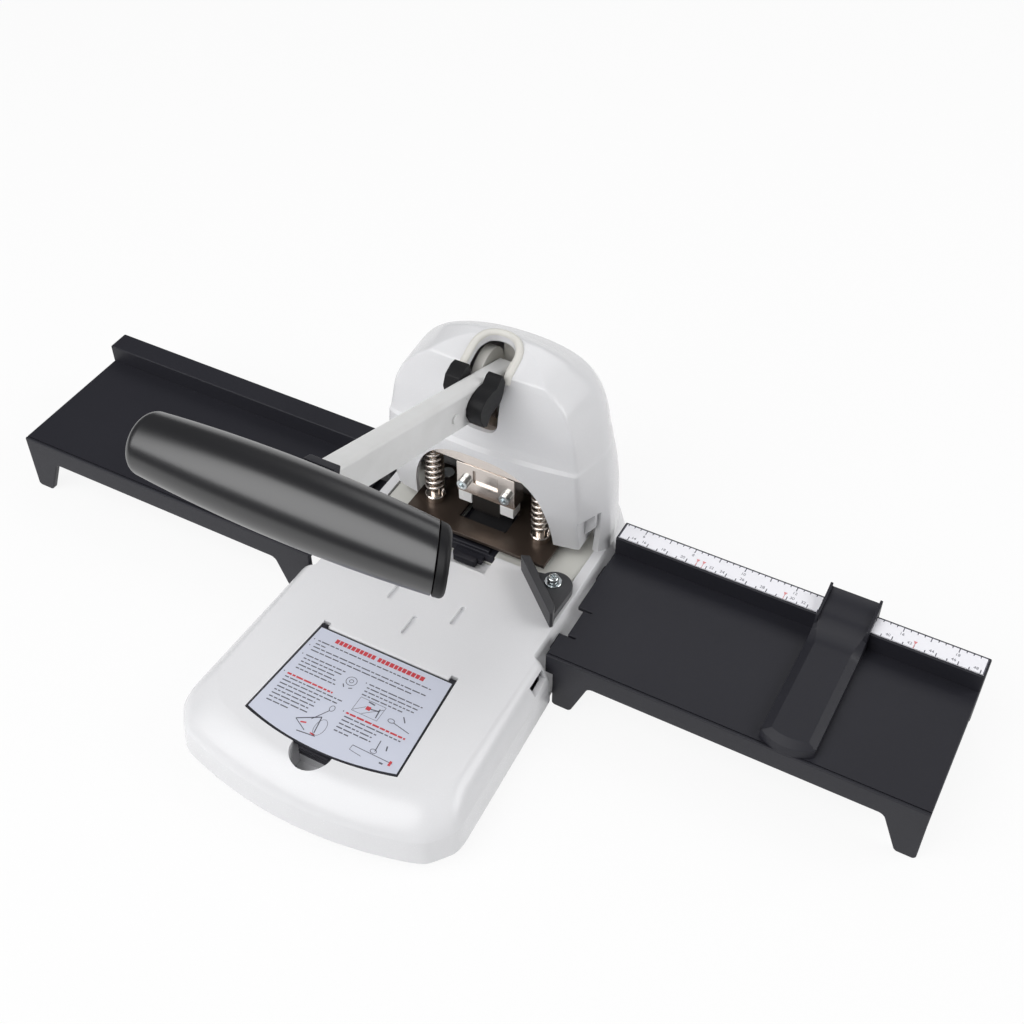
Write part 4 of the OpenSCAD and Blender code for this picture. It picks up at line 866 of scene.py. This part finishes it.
def add_niches():
    """Liners of the two pockets that take the ends of the tables' fences."""
    face = NICHE_IN - LINER_RECESS
    lap = face - PAST
    roof = NICHE_TOP + LINER_RECESS
    over = roof + PAST
    walls = [((NICHE_IN - HEAD_WALL, NICHE_REACH, SKIRT_LOW), (face, NICHE_BACK, roof + HEAD_WALL)),
             ((lap, NICHE_REACH, roof), (DECK_HALF, NICHE_BACK + PAST, roof + HEAD_WALL)),
             ((lap, NICHE_BACK, DECK), (DECK_HALF, NICHE_BACK + HEAD_WALL, over))]
    panel = [(lap, over), (DECK_HALF, over), (DECK_HALF, roof - PAST), (lap, roof - PANEL_DROP)]
    for name, s in SIDES:
        liner, *others = [side_block(s, *wall) for wall in walls]
        others.append(prism([(s * x, z) for x, z in panel], upright, PANEL_Y, PANEL_Y + PANEL_T))
        for other in others:
            carve(liner, other, "UNION")
        carve(liner, head_solid(LINER_INSET), "INTERSECT")
        add_extra(liner, "niche_liner_" + name, 30, "white_shell")


# Return springs
SPRING_R = 4.2
WIRE_D = 1.6
BEND_R = WIRE_D * 1.1
SPRING_TURNS = 7
RINGS_PER_TURN = 24


def spring_points(length):
    """Turn angle and height along the wire: upright, over into the helix and upright again."""
    sweep = BEND_R / SPRING_R
    turns = quarter(6)
    start = [(0, 0)] + [(sweep * (1 - cos(a)), WIRE_D + BEND_R * sin(a)) for a in turns]
    low = WIRE_D + BEND_R
    pitch = (length - 2 * low) / SPRING_TURNS
    steps = RINGS_PER_TURN * SPRING_TURNS
    middle = [(sweep + 2 * pi * i / RINGS_PER_TURN, low + pitch * i / RINGS_PER_TURN)
              for i in range(1, steps)]
    end = 2 * sweep + 2 * pi * SPRING_TURNS
    return start + middle + [(end - a, length - z) for a, z in reversed(start)]


def add_spring(node):
    low, high = span(node)
    centre = (low + high) / 2
    path, outward = [], []
    for angle, z in spring_points(high.z - low.z):
        out = Vector((cos(angle), sin(angle), 0))
        path.append(Vector((centre.x, centre.y, low.z + z)) + out * SPRING_R)
        outward.append(out)
    obj = make(node + "_wire", *tube(path, WIRE_D / 2, outward))
    stand_for(obj, node, "nickel", 50)
    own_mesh(obj)


# Handle
LEVER_REST = radians(20)
LEVER_LEN = 170
HANDLE_SHIFT = -0.5
HANDLE_HALF = 67
GRIP_HALF = 62
GRIP_R = 15.5
GRIP_END_R = 13
END_ROUND = 4.5
END_SLANT = tan(radians(28))
END_SOFT = 2.6
SEAM = 0.45
SEAM_CUT = 0.1
SEAM_SOFT = 0.3
SEAM_IN = 12
CAP_STEP = 7
CAP_IN = 12.4
PLUG_R = 7
PLUG_T = 2.5
PLUG_GAP = 0.2
PLUG_SOFT = 0.5
AXIS_R = 0.2
SLANT_FROM = 40
HANDLE_TURNS = full_turn(128)
# Corners of the hollow that takes the lever's end
MOUTH = ((-5.3, -LEVER_LEN - 8.4, -10.9), (5.3, GRIP_R - LEVER_LEN + PAST, 8.4))


def on_lever(obj):
    """Turns a mesh drawn level along -Y from the pivot up to the lever's rest angle."""
    turn = Matrix.Translation(PIVOT * MM) @ Matrix.Rotation(-LEVER_REST, 4, "X")
    obj.data.transform(turn)
    obj.data.update()
    return obj


def grip_radius(x):
    return mix(GRIP_R, GRIP_END_R, (x / GRIP_HALF) ** 2)


def level_ring(x, r):
    return [(x, r * cos(a), r * sin(a)) for a in HANDLE_TURNS]


def slanted_ring(at, inset=0.0, share=1.0):
    """A ring on the barrel where the slanted plane through a point of its middle line cuts it."""
    ring = []
    for a in HANDLE_TURNS:
        x = at
        for _ in range(3):
            r = grip_radius(x) - inset
            x = mix(SLANT_FROM, at - END_SLANT * r * cos(a), share)
        ring.append((x, r * cos(a), r * sin(a)))
    return ring


def handle_piece(name, rings):
    moved = [[(x + HANDLE_SHIFT, y - LEVER_LEN, z) for x, y, z in ring] for ring in rings]
    return on_lever(make(name, *skin(moved)))


def add_handle():
    left = END_ROUND - HANDLE_HALF
    bottom = PLUG_T - HANDLE_HALF
    hole = PLUG_R + PLUG_GAP
    rings = [level_ring(bottom, AXIS_R), level_ring(bottom, hole), level_ring(-HANDLE_HALF, hole)]
    rings += [level_ring(left - END_ROUND * cos(a), grip_radius(left) - END_ROUND * (1 - sin(a)))
              for a in quarter(9)]
    rings += [level_ring(x, grip_radius(x)) for x in np.linspace(left, SLANT_FROM, 50)[1:]]
    end = GRIP_HALF - SEAM
    rings += [slanted_ring(end - SEAM_SOFT, 0, t) for t in np.linspace(0, 1, 11)[1:]]
    rings += [slanted_ring(end - SEAM_CUT, SEAM_CUT), slanted_ring(end, SEAM_SOFT),
              slanted_ring(end, SEAM_IN)]
    grip = handle_piece("grip_barrel", rings)
    carve(grip, on_lever(block(*MOUTH)))
    stand_for(grip, "handle_grip", "black_grip", 35)
    rings = [slanted_ring(GRIP_HALF, SEAM_IN), slanted_ring(GRIP_HALF, SEAM_SOFT),
             slanted_ring(GRIP_HALF + SEAM_CUT, SEAM_CUT), slanted_ring(GRIP_HALF + SEAM_SOFT)]
    rings += [slanted_ring(HANDLE_HALF - END_SOFT * (1 - sin(a)), END_SOFT * (1 - cos(a)))
              for a in quarter(9)]
    rings += [slanted_ring(HANDLE_HALF, CAP_STEP), slanted_ring(HANDLE_HALF, CAP_IN)]
    caps = handle_piece("grip_caps", rings)
    rings = [level_ring(bottom, AXIS_R), level_ring(bottom, PLUG_R),
             level_ring(PLUG_SOFT - HANDLE_HALF, PLUG_R), level_ring(-HANDLE_HALF, PLUG_R - PLUG_SOFT),
             level_ring(-HANDLE_HALF, AXIS_R)]
    carve(caps, handle_piece("plug", rings), "UNION")
    stand_for(caps, "handle_end_caps", "cap_black", 35)


# Lever arm
LEVER_HALF = 4.9
LEVER_TOP = 7.0
LEVER_LOW = -10.5
LEVER_SHEET = 1.8
LEVER_SOFT = 2.4
LEVER_ROUND = 8.75
LEVER_END_R = 8.0


def add_lever():
    """The folded lever arm with soft upper edges, drawn level and turned up to its rest angle."""
    right = [(LEVER_HALF, LEVER_LOW)]
    right += [(LEVER_HALF - LEVER_SOFT * (1 - cos(a)), LEVER_TOP - LEVER_SOFT * (1 - sin(a)))
              for a in quarter(9)]
    front = -LEVER_LEN - LEVER_END_R
    arm = prism(right + [(-x, z) for x, z in reversed(right)], upright, front, LEVER_ROUND)
    middle = (LEVER_TOP + LEVER_LOW) / 2
    side = [(LEVER_ROUND * sin(a), middle + LEVER_ROUND * cos(a)) for a in np.linspace(0, pi, 33)]
    side += [(LEVER_END_R - LEVER_LEN, LEVER_LOW), (LEVER_END_R - LEVER_LEN, -LEVER_END_R)]
    last = pi - acos(LEVER_TOP / LEVER_END_R)
    side += [(-LEVER_LEN - LEVER_END_R * sin(a), -LEVER_END_R * cos(a))
             for a in np.linspace(0, last, 20)]
    carve(arm, prism(side, sideways, -LEVER_HALF - PAST, LEVER_HALF + PAST), "INTERSECT")
    inside = LEVER_HALF - LEVER_SHEET
    carve(arm, block((-inside, front - PAST, LEVER_LOW - PAST),
                     (inside, LEVER_ROUND + PAST, LEVER_TOP - LEVER_SHEET)))
    arm.name = "lever_fold"
    on_lever(arm)
    stand_for(arm, "lever_arm", "lever_paint", 35)


# Turned pieces: radius, end of the solid (0 lower, 1 upper) and height from that end
POST_R = 2.75
WASHER_R = 4.2
FOOT_R = 7
FOOT_REAR_X = 40
POST = ((0.1, 0, 0), (POST_R, 0, 0), (POST_R, 1, -0.6), (2.2, 1, 0), (0.1, 1, 0))
COLLAR = ((2.8, 0, 0), (4.8, 0, 0), (5, 0, 0.2), (5, 1, -0.5), (4.6, 1, 0), (2.8, 1, 0))
WASHER = ((2.05, 0, 0), (WASHER_R, 0, 0), (WASHER_R, 1, -0.2), (4, 1, 0), (2.05, 1, 0))
SCREW = ((0.1, 0, 0), (2, 0, 0), (2, 1, -2.2), (2.6, 1, -2.15), (2.85, 1, -1.95), (2.85, 1, -1.1),
         (2.7, 1, -0.6), (2.2, 1, -0.2), (1.4, 1, 0), (0.1, 1, 0))
FOOT = ((0.2, 0, 0), (5.6, 0, 0), (6.2, 0, 0.5), (FOOT_R, 1, -1.2), (6.6, 1, 0), (0.2, 1, 0))
CROSS_LEN = 1.7
CROSS_HALF = 0.4
CROSS_D = 1.5


def both(x, y):
    return [(x, y), (-x, y)]


def add_turned(node, name, look, profile, places):
    """The same turned shape at several places, in place of one solid."""
    ends = [corner.z for corner in span(node)]
    heights = [(r, ends[end] + z) for r, end, z in profile]
    obj = make(name, *join_faces([along_z(heights, x, y) for x, y in places]))
    return stand_for(obj, node, look, 35)


def add_turned_pieces():
    low, high = span("guide_posts")
    posts = both(high.x - POST_R, (low.y + high.y) / 2)
    add_turned("guide_posts", "post_rods", "nickel", POST, posts)
    add_turned("post_collars", "collar_turnings", "nickel", COLLAR, posts)
    low, high = span("guide_washers")
    screws = both(high.x - WASHER_R, (low.y + high.y) / 2)
    add_turned("guide_washers", "washer_rings", "steel", WASHER, screws)
    heads = add_turned("guide_screws", "guide_screw_heads", "steel", SCREW, screws)
    top = span("guide_screws")[1].z
    for x, y in screws:
        for dx, dy in ((CROSS_LEN, CROSS_HALF), (CROSS_HALF, CROSS_LEN)):
            carve(heads, block((x - dx, y - dy, top - CROSS_D), (x + dx, y + dy, top + PAST)))
    shade(heads, 35)
    low, high = span("rubber_feet")
    feet = both(high.x - FOOT_R, low.y + FOOT_R) + both(FOOT_REAR_X, high.y - FOOT_R)
    add_turned("rubber_feet", "feet_turnings", "rubber", FOOT, feet)


# Paper stop
STOP_BOW_R = 21.2
STOP_TOP = 6.2
STOP_FACE = 4.0
STOP_RUN = 4.0
STOP_LEAN = 0.9
STOP_SLOPE = 16
STOP_LEVEL = 4
STOP_LIP = 3.2
STOP_DIP = 0.3
STOP_PLAY = 0.6
STOP_OVER = 0.5
STOP_EDGE = 0.22
BRIM_RUN = 0.6
BRIM_DROP = 0.4
SADDLE_T = 2.3
SADDLE_GAP = 0.1
WING_T = 1.3
WING_H = 1.2
WING_LEAD = 1
WING_RUN = 4
WING_POWER = 2.4
REAR_LEG_LOW = 1.5


def smooth(t):
    """A soft step from 0 to 1."""
    t = min(1.0, max(0.0, t))
    return t * t * (3 - 2 * t)


def stop_ring(y, low, half, hook, saddle, rear):
    """Cross-section of the stop: flat top and sloped shoulders, rising to the saddle and its rear lip."""
    level = hook + STOP_LEVEL
    rise = smooth((y - level) / STOP_SLOPE + 1)
    lip = max(0.0, (y - level) / (rear - level)) ** 3
    top = mix(low + STOP_TOP, saddle - STOP_DIP, rise) + STOP_LIP * lip
    run = mix(STOP_RUN, BRIM_RUN, rise)
    drop = mix(STOP_TOP - STOP_FACE, BRIM_DROP, rise)
    right = [(half, low), (half, top - drop), (half - run, top)]
    return [(x, y, z) for x, z in right + [(-x, z) for x, z in reversed(right)]]


def add_stop():
    """A low bar with a bowed front that hooks over the fence."""
    low, high = span("paper_stop")
    rear = high.y
    half = (high.x - low.x) / 2
    wide = half + PAST
    hook = FENCE_Y + STOP_PLAY - SADDLE_T
    under = ruler_high.z + SADDLE_GAP
    saddle = under + SADDLE_T
    stop = make("stop_bar", *skin([stop_ring(y, low.z, half, hook, saddle, rear)
                                   for y in np.linspace(low.y - PAST, rear, 90)]))
    face = low.z + STOP_FACE
    wing = saddle + WING_H
    lead = hook - WING_LEAD
    sweep = np.linspace(0, 1, 13)
    rim = [(mix(rear, lead, t), wing + (high.z - wing) * (1 - t) ** WING_POWER) for t in sweep[:-1]]
    rim += [(lead - WING_RUN * t, mix(wing, face, smooth(t))) for t in sweep]
    rim += [(lead - WING_RUN, low.z), (rear, low.z)]
    for _, s in SIDES:
        carve(stop, prism(rim, sideways, *sorted((s * (half - WING_T), s * half))), "UNION")
    carve(stop, block((-wide, hook + SADDLE_T, low.z - PAST), (wide, rear - SADDLE_T, under)))
    carve(stop, block((-wide, rear - SADDLE_T - PAST, low.z - PAST),
                      (wide, rear + PAST, low.z + REAR_LEG_LOW)))
    edge = half + STOP_OVER
    reach = asin(min(1, edge / STOP_BOW_R))
    turns = np.linspace(-reach, reach, 25)
    steep = STOP_RUN / (STOP_TOP - STOP_FACE)
    top = high.z + PAST
    top_back = STOP_LEAN + steep * (top - face)
    rings = []
    for z, back in ((low.z - PAST, 0), (low.z, 0), (face, STOP_LEAN), (top, top_back)):
        bow = [(STOP_BOW_R * sin(a), low.y + back + STOP_BOW_R * (1 - cos(a)), z) for a in turns]
        rings.append(bow + [(edge, rear + PAST, z), (-edge, rear + PAST, z)])
    carve(stop, make("trim", *skin(rings)), "INTERSECT")
    bevel_outer(stop, STOP_EDGE, 25)
    stop.data.transform(Matrix.Translation(((low.x + high.x) / 2 * MM, 0, 0)))
    stand_for(stop, "paper_stop", "black_plastic", 32)


# Tables
TABLE_EDGE = 0.6
LINE_BACK = 1.3
LINE_W = 0.6
LINE_D = 0.7


def add_tables():
    """Both side tables, with a fine groove along the front edge of their tops."""
    top = span("paper_stop")[0].z
    for node in ("left_table", "right_table"):
        low, high = span(node)
        line = low.y + LINE_BACK
        table = copy_of(node)
        bevel_outer(table, TABLE_EDGE)
        carve(table, block((low.x - PAST, line, top - LINE_D), (high.x + PAST, line + LINE_W, top + LINE_W)))
        stand_for(table, node, "black_plastic", 50)


# Ruler
RULER_STEP = 5.0
FIRST_MARK = 13
LAST_MARK = 48
INCH_STEP = 12.7
INCH_PARTS = 4
RED_MARKS = (21, 21.6, 29.7, 42)
MARK_LIFT = 0.03
RED_LIFT = 0.04
DIGIT_H = 1.65
DIGIT_SHIFT = 2.3
DIGIT_FOOT = 1.6
INCH_DIGIT_FOOT = 5.1
TICK_HALF = 0.22
LONG_TICK = 2.3
SHORT_TICK = 1.5
INCH_TICK = 2.8
RED_HALF = 0.14
RED_TIP = 2.4
RED_W = 0.9
RED_H = 2.0
RULER_EDGE = 0.1
RULER_BORDER = 0.5


def flat_box(x0, x1, y0, y1, z):
    return [(x0, y0, z), (x1, y0, z), (x1, y1, z), (x0, y1, z)], [(0, 1, 2, 3)]


def digits(text, x, y, z, size):
    """A number as a flat mesh with its middle at x, standing on y."""
    curve = bpy.data.curves.new("digits", "FONT")
    curve.body = text
    curve.size = size * 1.4
    curve.align_x = "CENTER"
    obj = bpy.data.objects.new("digits", curve)
    scene.collection.objects.link(obj)
    mesh = bpy.data.meshes.new_from_object(obj.evaluated_get(bpy.context.evaluated_depsgraph_get()))
    points = [(x + v.co.x, y + v.co.y, z) for v in mesh.vertices]
    faces = [list(p.vertices) for p in mesh.polygons]
    bpy.data.objects.remove(obj)
    bpy.data.meshes.remove(mesh)
    return points, faces


def add_ruler():
    low, high = ruler_low, ruler_high
    z = high.z + MARK_LIFT
    red_z = high.z + RED_LIFT
    near, far = low.y + RULER_EDGE, high.y - RULER_EDGE
    crowds = [RULER_STEP * d for d in RED_MARKS] + [low.x]
    black, red = [], []
    for d in range(FIRST_MARK, LAST_MARK + 1):
        x = RULER_STEP * d
        if not low.x + PAST < x < high.x - PAST:
            continue
        reach = SHORT_TICK if d % 2 else LONG_TICK
        black.append(flat_box(x - TICK_HALF, x + TICK_HALF, near, low.y + reach, z))
        if d % 2 == 0:
            crowded = any(x - RULER_STEP < c < x for c in crowds)
            shift = DIGIT_SHIFT if crowded else -DIGIT_SHIFT
            black.append(digits(str(d), x + shift, low.y + DIGIT_FOOT, z, DIGIT_H))
    part = INCH_STEP / INCH_PARTS
    for k in range(int(low.x / part), int(high.x / part) + 1):
        x = part * k
        if not low.x + RULER_BORDER < x < high.x - RULER_BORDER:
            continue
        reach = SHORT_TICK if k % INCH_PARTS else INCH_TICK
        black.append(flat_box(x - TICK_HALF, x + TICK_HALF, high.y - reach, far, z))
        if k % (2 * INCH_PARTS) == 0:
            black.append(digits(str(k // INCH_PARTS), x, high.y - INCH_DIGIT_FOOT, z, DIGIT_H))
    for d in RED_MARKS:
        x = RULER_STEP * d
        tip = low.y + RED_TIP
        back = tip + RED_H
        red.append(([(x, tip, red_z), (x + RED_W, back, red_z), (x - RED_W, back, red_z)], [(0, 1, 2)]))
        red.append(flat_box(x - RED_HALF, x + RED_HALF, near, tip + RED_W / 2, red_z))
    black.append(flat_box(low.x, high.x, low.y, near + RULER_EDGE / 2, z))
    black.append(flat_box(low.x, high.x, high.y - RULER_BORDER, far + RULER_EDGE / 2, z))
    black += [flat_box(x, x + RULER_BORDER, near, far, z) for x in (low.x, high.x - RULER_BORDER)]
    dress(make("ruler_marks", *join_faces(black)), "base", "ruler", "grey_ink")
    dress(make("ruler_red_marks", *join_faces(red)), "base", "ruler", "pale_red_ink")
    soften("ruler_strip", "ruler", 0.08)


# Label: plain lines and blocks, with no words on it
LABEL_BORDER = 0.75
ROW_STEP = 2.05
RED_RISE = 0.01
# Ink of each kind of print, its height, its shortest and longest bar and the gap between bars
PRINT_KINDS = {
    "title": ("red", 2.4, 1.6, 2.1, 0.4),
    "heading": ("red", 0.95, 1.2, 4, 0.5),
    "small": ("black", 0.6, 1.2, 4.6, 0.6)}
# Kind of each block of print, where it starts, how far from the back edge, and where its rows end
PRINT = (
    ("title", -24.3, 2.8, (-3.2,)),
    ("title", -1.6, 2.8, (23.8,)),
    ("small", -31.7, 7.2, (28.1, -26.5)),
    ("small", -31.7, 11.2, (27.8, 21.6)),
    ("small", -31.9, 16.8, (-10.7, -11.5, -13, -12, -10.4)),
    ("small", 2.5, 17.6, (30.1, 29.6, 28.5, 23.7)),
    ("heading", -33.4, 29.2, (-9.3,)),
    ("small", -33.4, 31.3, (-3.1, -4.4, -12, -13, -12.4, -14, -13.2, -22)),
    ("heading", 1.9, 35.4, (32.1,)),
    ("small", 2.2, 37.6, (31, 20, 19, 19.7, 9.8)))
# Start of each stroke and how far from the back edge, the same for its end, and its width
STROKES = {
    "black": (
        (-33.75, 7.2, -33.75, 7.8, 0.5), (-33.75, 11.2, -33.75, 11.8, 0.5),
        (-33.75, 16.8, -33.75, 17.4, 0.5), (0.95, 17.6, 0.95, 18.2, 0.5),
        (-35.35, 29, -35.35, 29.6, 0.5), (0.45, 35.4, 0.45, 36, 0.5),
        (-8, 23, -6.8, 24.6, 0.5), (-4.6, 24.2, -3, 23.4, 0.5), (7.6, 26.2, 11, 26.6, 0.7),
        (10, 29.4, 14.6, 28.6, 0.6), (14.2, 27.4, 14.8, 32.4, 0.6), (25.4, 26, 27.6, 28.6, 0.55),
        (-15.8, 48.7, -6, 43, 0.55), (-15.8, 48.7, -9, 52.4, 0.4), (-6, 43, -4.4, 51.6, 0.5),
        (-9.6, 46, -5, 38.4, 0.4), (-12, 54, -3, 53, 0.5), (23.4, 41.4, 24, 47.4, 0.45),
        (27.4, 42.6, 28.2, 45, 0.6), (28.6, 51.4, 30.4, 51.4, 0.8)),
    "fine": (
        (3, 33.49, 16.2, 33.49, 0.22), (3, 25.51, 16.2, 25.51, 0.22), (3.11, 33.6, 3.11, 25.4, 0.22),
        (16.09, 33.6, 16.09, 25.4, 0.22), (3.4, 33, 8, 29, 0.25), (8, 33.2, 15.8, 27, 0.25),
        (23, 30.8, 32, 32.6, 0.4), (13.8, 49, 34, 49.4, 0.35), (13.8, 51.6, 20, 52.4, 0.25),
        (13.8, 49, 13.8, 51.6, 0.25)),
    "red": ((-13, 49.4, -10.4, 48.6, 0.8), (-6, 52.4, -3.6, 52.6, 0.7))}
# Middle of each oval and how far from the back edge, its half width and half height, and its line's width
OVALS = ((-5.4, 20.2, 2.7, 2.5, 0.3), (-5.4, 20.2, 1.1, 1, 0.3), (21.7, 30.4, 1.7, 1.2, 0.35),
         (-4.6, 37, 1.3, 1.7, 0.3), (-3.6, 48, 2.6, 4.6, 0.22), (23.4, 47.6, 1.6, 1.2, 0.3))
# Ends of each red block and how far its front and back are from the back edge
RED_BLOCKS = ((8.2, 10.4, 30.4, 28.4), (32.4, 33.6, 51, 48.4))


def words(x0, x1, y, z, height, least, most, gap):
    """One row of short bars, like a line of print."""
    bars = []
    x = x0
    while x < x1 - least / 2:
        word = min(random.uniform(least, most), x1 - x)
        bars.append(flat_box(x, x + word, y - height, y, z))
        x += word + gap
    return bars


def ring_line(x, y, rx, ry, width, z):
    """An oval line."""
    turns = full_turn(40)
    count = len(turns)
    outer = [(x + rx * cos(a), y + ry * sin(a), z) for a in turns]
    inner = [(x + (rx - width) * cos(a), y + (ry - width) * sin(a), z) for a in turns]
    faces = [(i, (i + 1) % count, count + (i + 1) % count, count + i) for i in range(count)]
    return outer + inner, faces


def stroke(x0, y0, x1, y1, width, z):
    """A straight line of any direction."""
    run = Vector((x1 - x0, y1 - y0)).normalized() * width / 2
    across = Vector((-run.y, run.x))
    points = [(x0 - across.x, y0 - across.y, z), (x1 - across.x, y1 - across.y, z),
              (x1 + across.x, y1 + across.y, z), (x0 + across.x, y0 + across.y, z)]
    return points, [(0, 1, 2, 3)]


def add_label():
    panel = prism(lid_outline(-LABEL_BORDER), flat, label_low.z, label_high.z + MARK_LIFT)
    panel.name = "label_panel"
    stand_for(panel, "label_plate", "label", 35)
    z = label_high.z + 2 * MARK_LIFT
    back = label_high.y
    marks = {"black": [], "fine": [], "red": []}
    for kind, x0, d, ends in PRINT:
        ink, *sizes = PRINT_KINDS[kind]
        for i, x1 in enumerate(ends):
            marks[ink] += words(x0, x1, back - d - i * ROW_STEP, z, *sizes)
    for ink, lines in STROKES.items():
        marks[ink] += [stroke(x0, back - d0, x1, back - d1, width, z) for x0, d0, x1, d1, width in lines]
    marks["fine"] += [ring_line(x, back - d, rx, ry, width, z) for x, d, rx, ry, width in OVALS]
    marks["red"] += [flat_box(x0, x1, back - d0, back - d1, z + RED_RISE) for x0, x1, d0, d1 in RED_BLOCKS]
    dress(make("label_print", *join_faces(marks["black"])), "lid", "label", "grey_ink")
    dress(make("label_fine_print", *join_faces(marks["fine"])), "lid", "label", "grey_ink")
    dress(make("label_red_print", *join_faces(marks["red"])), "lid", "label", "red_ink")
    soften("storage_lid", "black_plastic", 0.25)
    add_latch()
    add_notch_bowl()


# Thumb notch and the lid's latch
BOWL_LOW = DECK - 18.4
BOWL_TOP = DECK_UNDER - 0.05
BOWL_IN = NOTCH_R + 0.1
BOWL_OUT = NOTCH_R + 1.4
BOWL_LAP = 0.2
BOWL_BACK = NOTCH_Y + 4
BOWL_FLOOR = BOWL_LOW + 0.5
# Near and far face of the bowl's low rear wall, and its top
BOWL_REAR = (NOTCH_Y + 3, NOTCH_Y + 4.2)
BOWL_REAR_TOP = lid_high.z - 8.4
LATCH_FRONT = label_low.y - 1.2
LATCH_TOP = lid_high.z - LID_T
LATCH_LOW = LATCH_TOP - 6
LATCH_HALF = 8
LATCH_T = 1.4
LATCH_EDGE = 0.15
RIB_COUNT = 3
RIB_HALF = 7.6
RIB_STEP = 2
RIB_H = 0.8
RIB_OUT = 0.6
RIB_LAP = 0.4


def add_notch_bowl():
    """Light walls and floor round the thumb notch, under the deck."""
    turns = np.linspace(pi, 2 * pi, 33)
    ring = arc(0, NOTCH_Y, BOWL_OUT, turns) + arc(0, NOTCH_Y, BOWL_IN, reversed(turns))
    bowl = prism(ring, flat, BOWL_LOW, BOWL_TOP)
    walls = [block((-BOWL_OUT, NOTCH_Y - BOWL_OUT, BOWL_LOW - PAST), (BOWL_OUT, BOWL_BACK, BOWL_FLOOR)),
             block((-BOWL_OUT, BOWL_REAR[0], BOWL_LOW), (BOWL_OUT, BOWL_REAR[1], BOWL_REAR_TOP))]
    side = (BOWL_IN, NOTCH_Y - BOWL_LAP, BOWL_LOW), (BOWL_OUT, BOWL_BACK, BOWL_TOP)
    walls += [side_block(s, *side) for _, s in SIDES]
    for wall in walls:
        carve(bowl, wall, "UNION")
    add_extra(bowl, "notch_bowl", 35, "white_shell")


def add_latch():
    """Ribbed finger lip under the lid's front edge, seen through the thumb notch."""
    latch = block((-LATCH_HALF, LATCH_FRONT, LATCH_LOW),
                  (LATCH_HALF, LATCH_FRONT + LATCH_T, LATCH_TOP + LID_GAP))
    for k in range(RIB_COUNT):
        z = LATCH_LOW + RIB_OUT + RIB_STEP * k
        rib = block((-RIB_HALF, LATCH_FRONT - RIB_OUT, z), (RIB_HALF, LATCH_FRONT + RIB_LAP, z + RIB_H))
        carve(latch, rib, "UNION")
    bevel(latch, LATCH_EDGE, "ANGLE")
    add_extra(latch, "lid_latch", 50, "black_plastic", "lid", "black_plastic")


# Solids that keep their shape and get soft edges
SOFT_EDGES = {
    "corner_guide_left": 0.5, "corner_guide_right": 0.5, "cheek_cap_left": 0.35, "cheek_cap_right": 0.35,
    "lever_collar": 0.5, "disc_holder": 0.4, "punch_holder": 0.35, "square_nuts": 0.4, "punch_plate": 0.3,
    "bed": 0.5, "ram_crosshead": 0.4, "plate_spacer": 0.3, "storage_tray": 0.4, "punch_blade": 0.15,
    "clamp_screws": 0.25, "frame_cheek_left": 0.4, "frame_cheek_right": 0.4, "frame_bolts": 0.3,
    "tie_bolt": 0.3, "plate_screws": 0.3, "pivot_pin": 0.4, "pivot_clips": 0.15, "lever_hub": 0.2,
    "press_roller": 0.3, "roller_pin": 0.3, "lever_rivet": 0.35, "handle_core": 0.4, "ram_bushes": 0.15,
    "base_plate": 0.3, "base_screws": 0.3, "cutting_disc": 0.4}
LOOK_OF_NODE = {
    "square_nuts": "nuts_painted_reflection", "cheek_cap_left": "cap_black", "cheek_cap_right": "cap_black",
    "frame_cheek_left": "frame_paint", "frame_cheek_right": "frame_paint", "lever_hub": "frame_paint",
    "punch_blade": "blade_painted_shade", "lever_rivet": "lever_paint", "corner_guide_left": "guide_black",
    "corner_guide_right": "guide_black"}


def add_soft_edged():
    for node, width in SOFT_EDGES.items():
        soften(node, LOOK_OF_NODE.get(node, slot_of_node[node]), width)


add_camera()
add_floor()
add_world()
for lamp_row in LAMPS:
    add_lamp(*lamp_row)
scene.view_settings.view_transform = "Standard"
add_base()
add_head()
add_spring("return_spring_left")
add_spring("return_spring_right")
add_handle()
add_lever()
add_stop()
add_tables()
add_turned_pieces()
add_ruler()
add_label()
add_soft_edged()
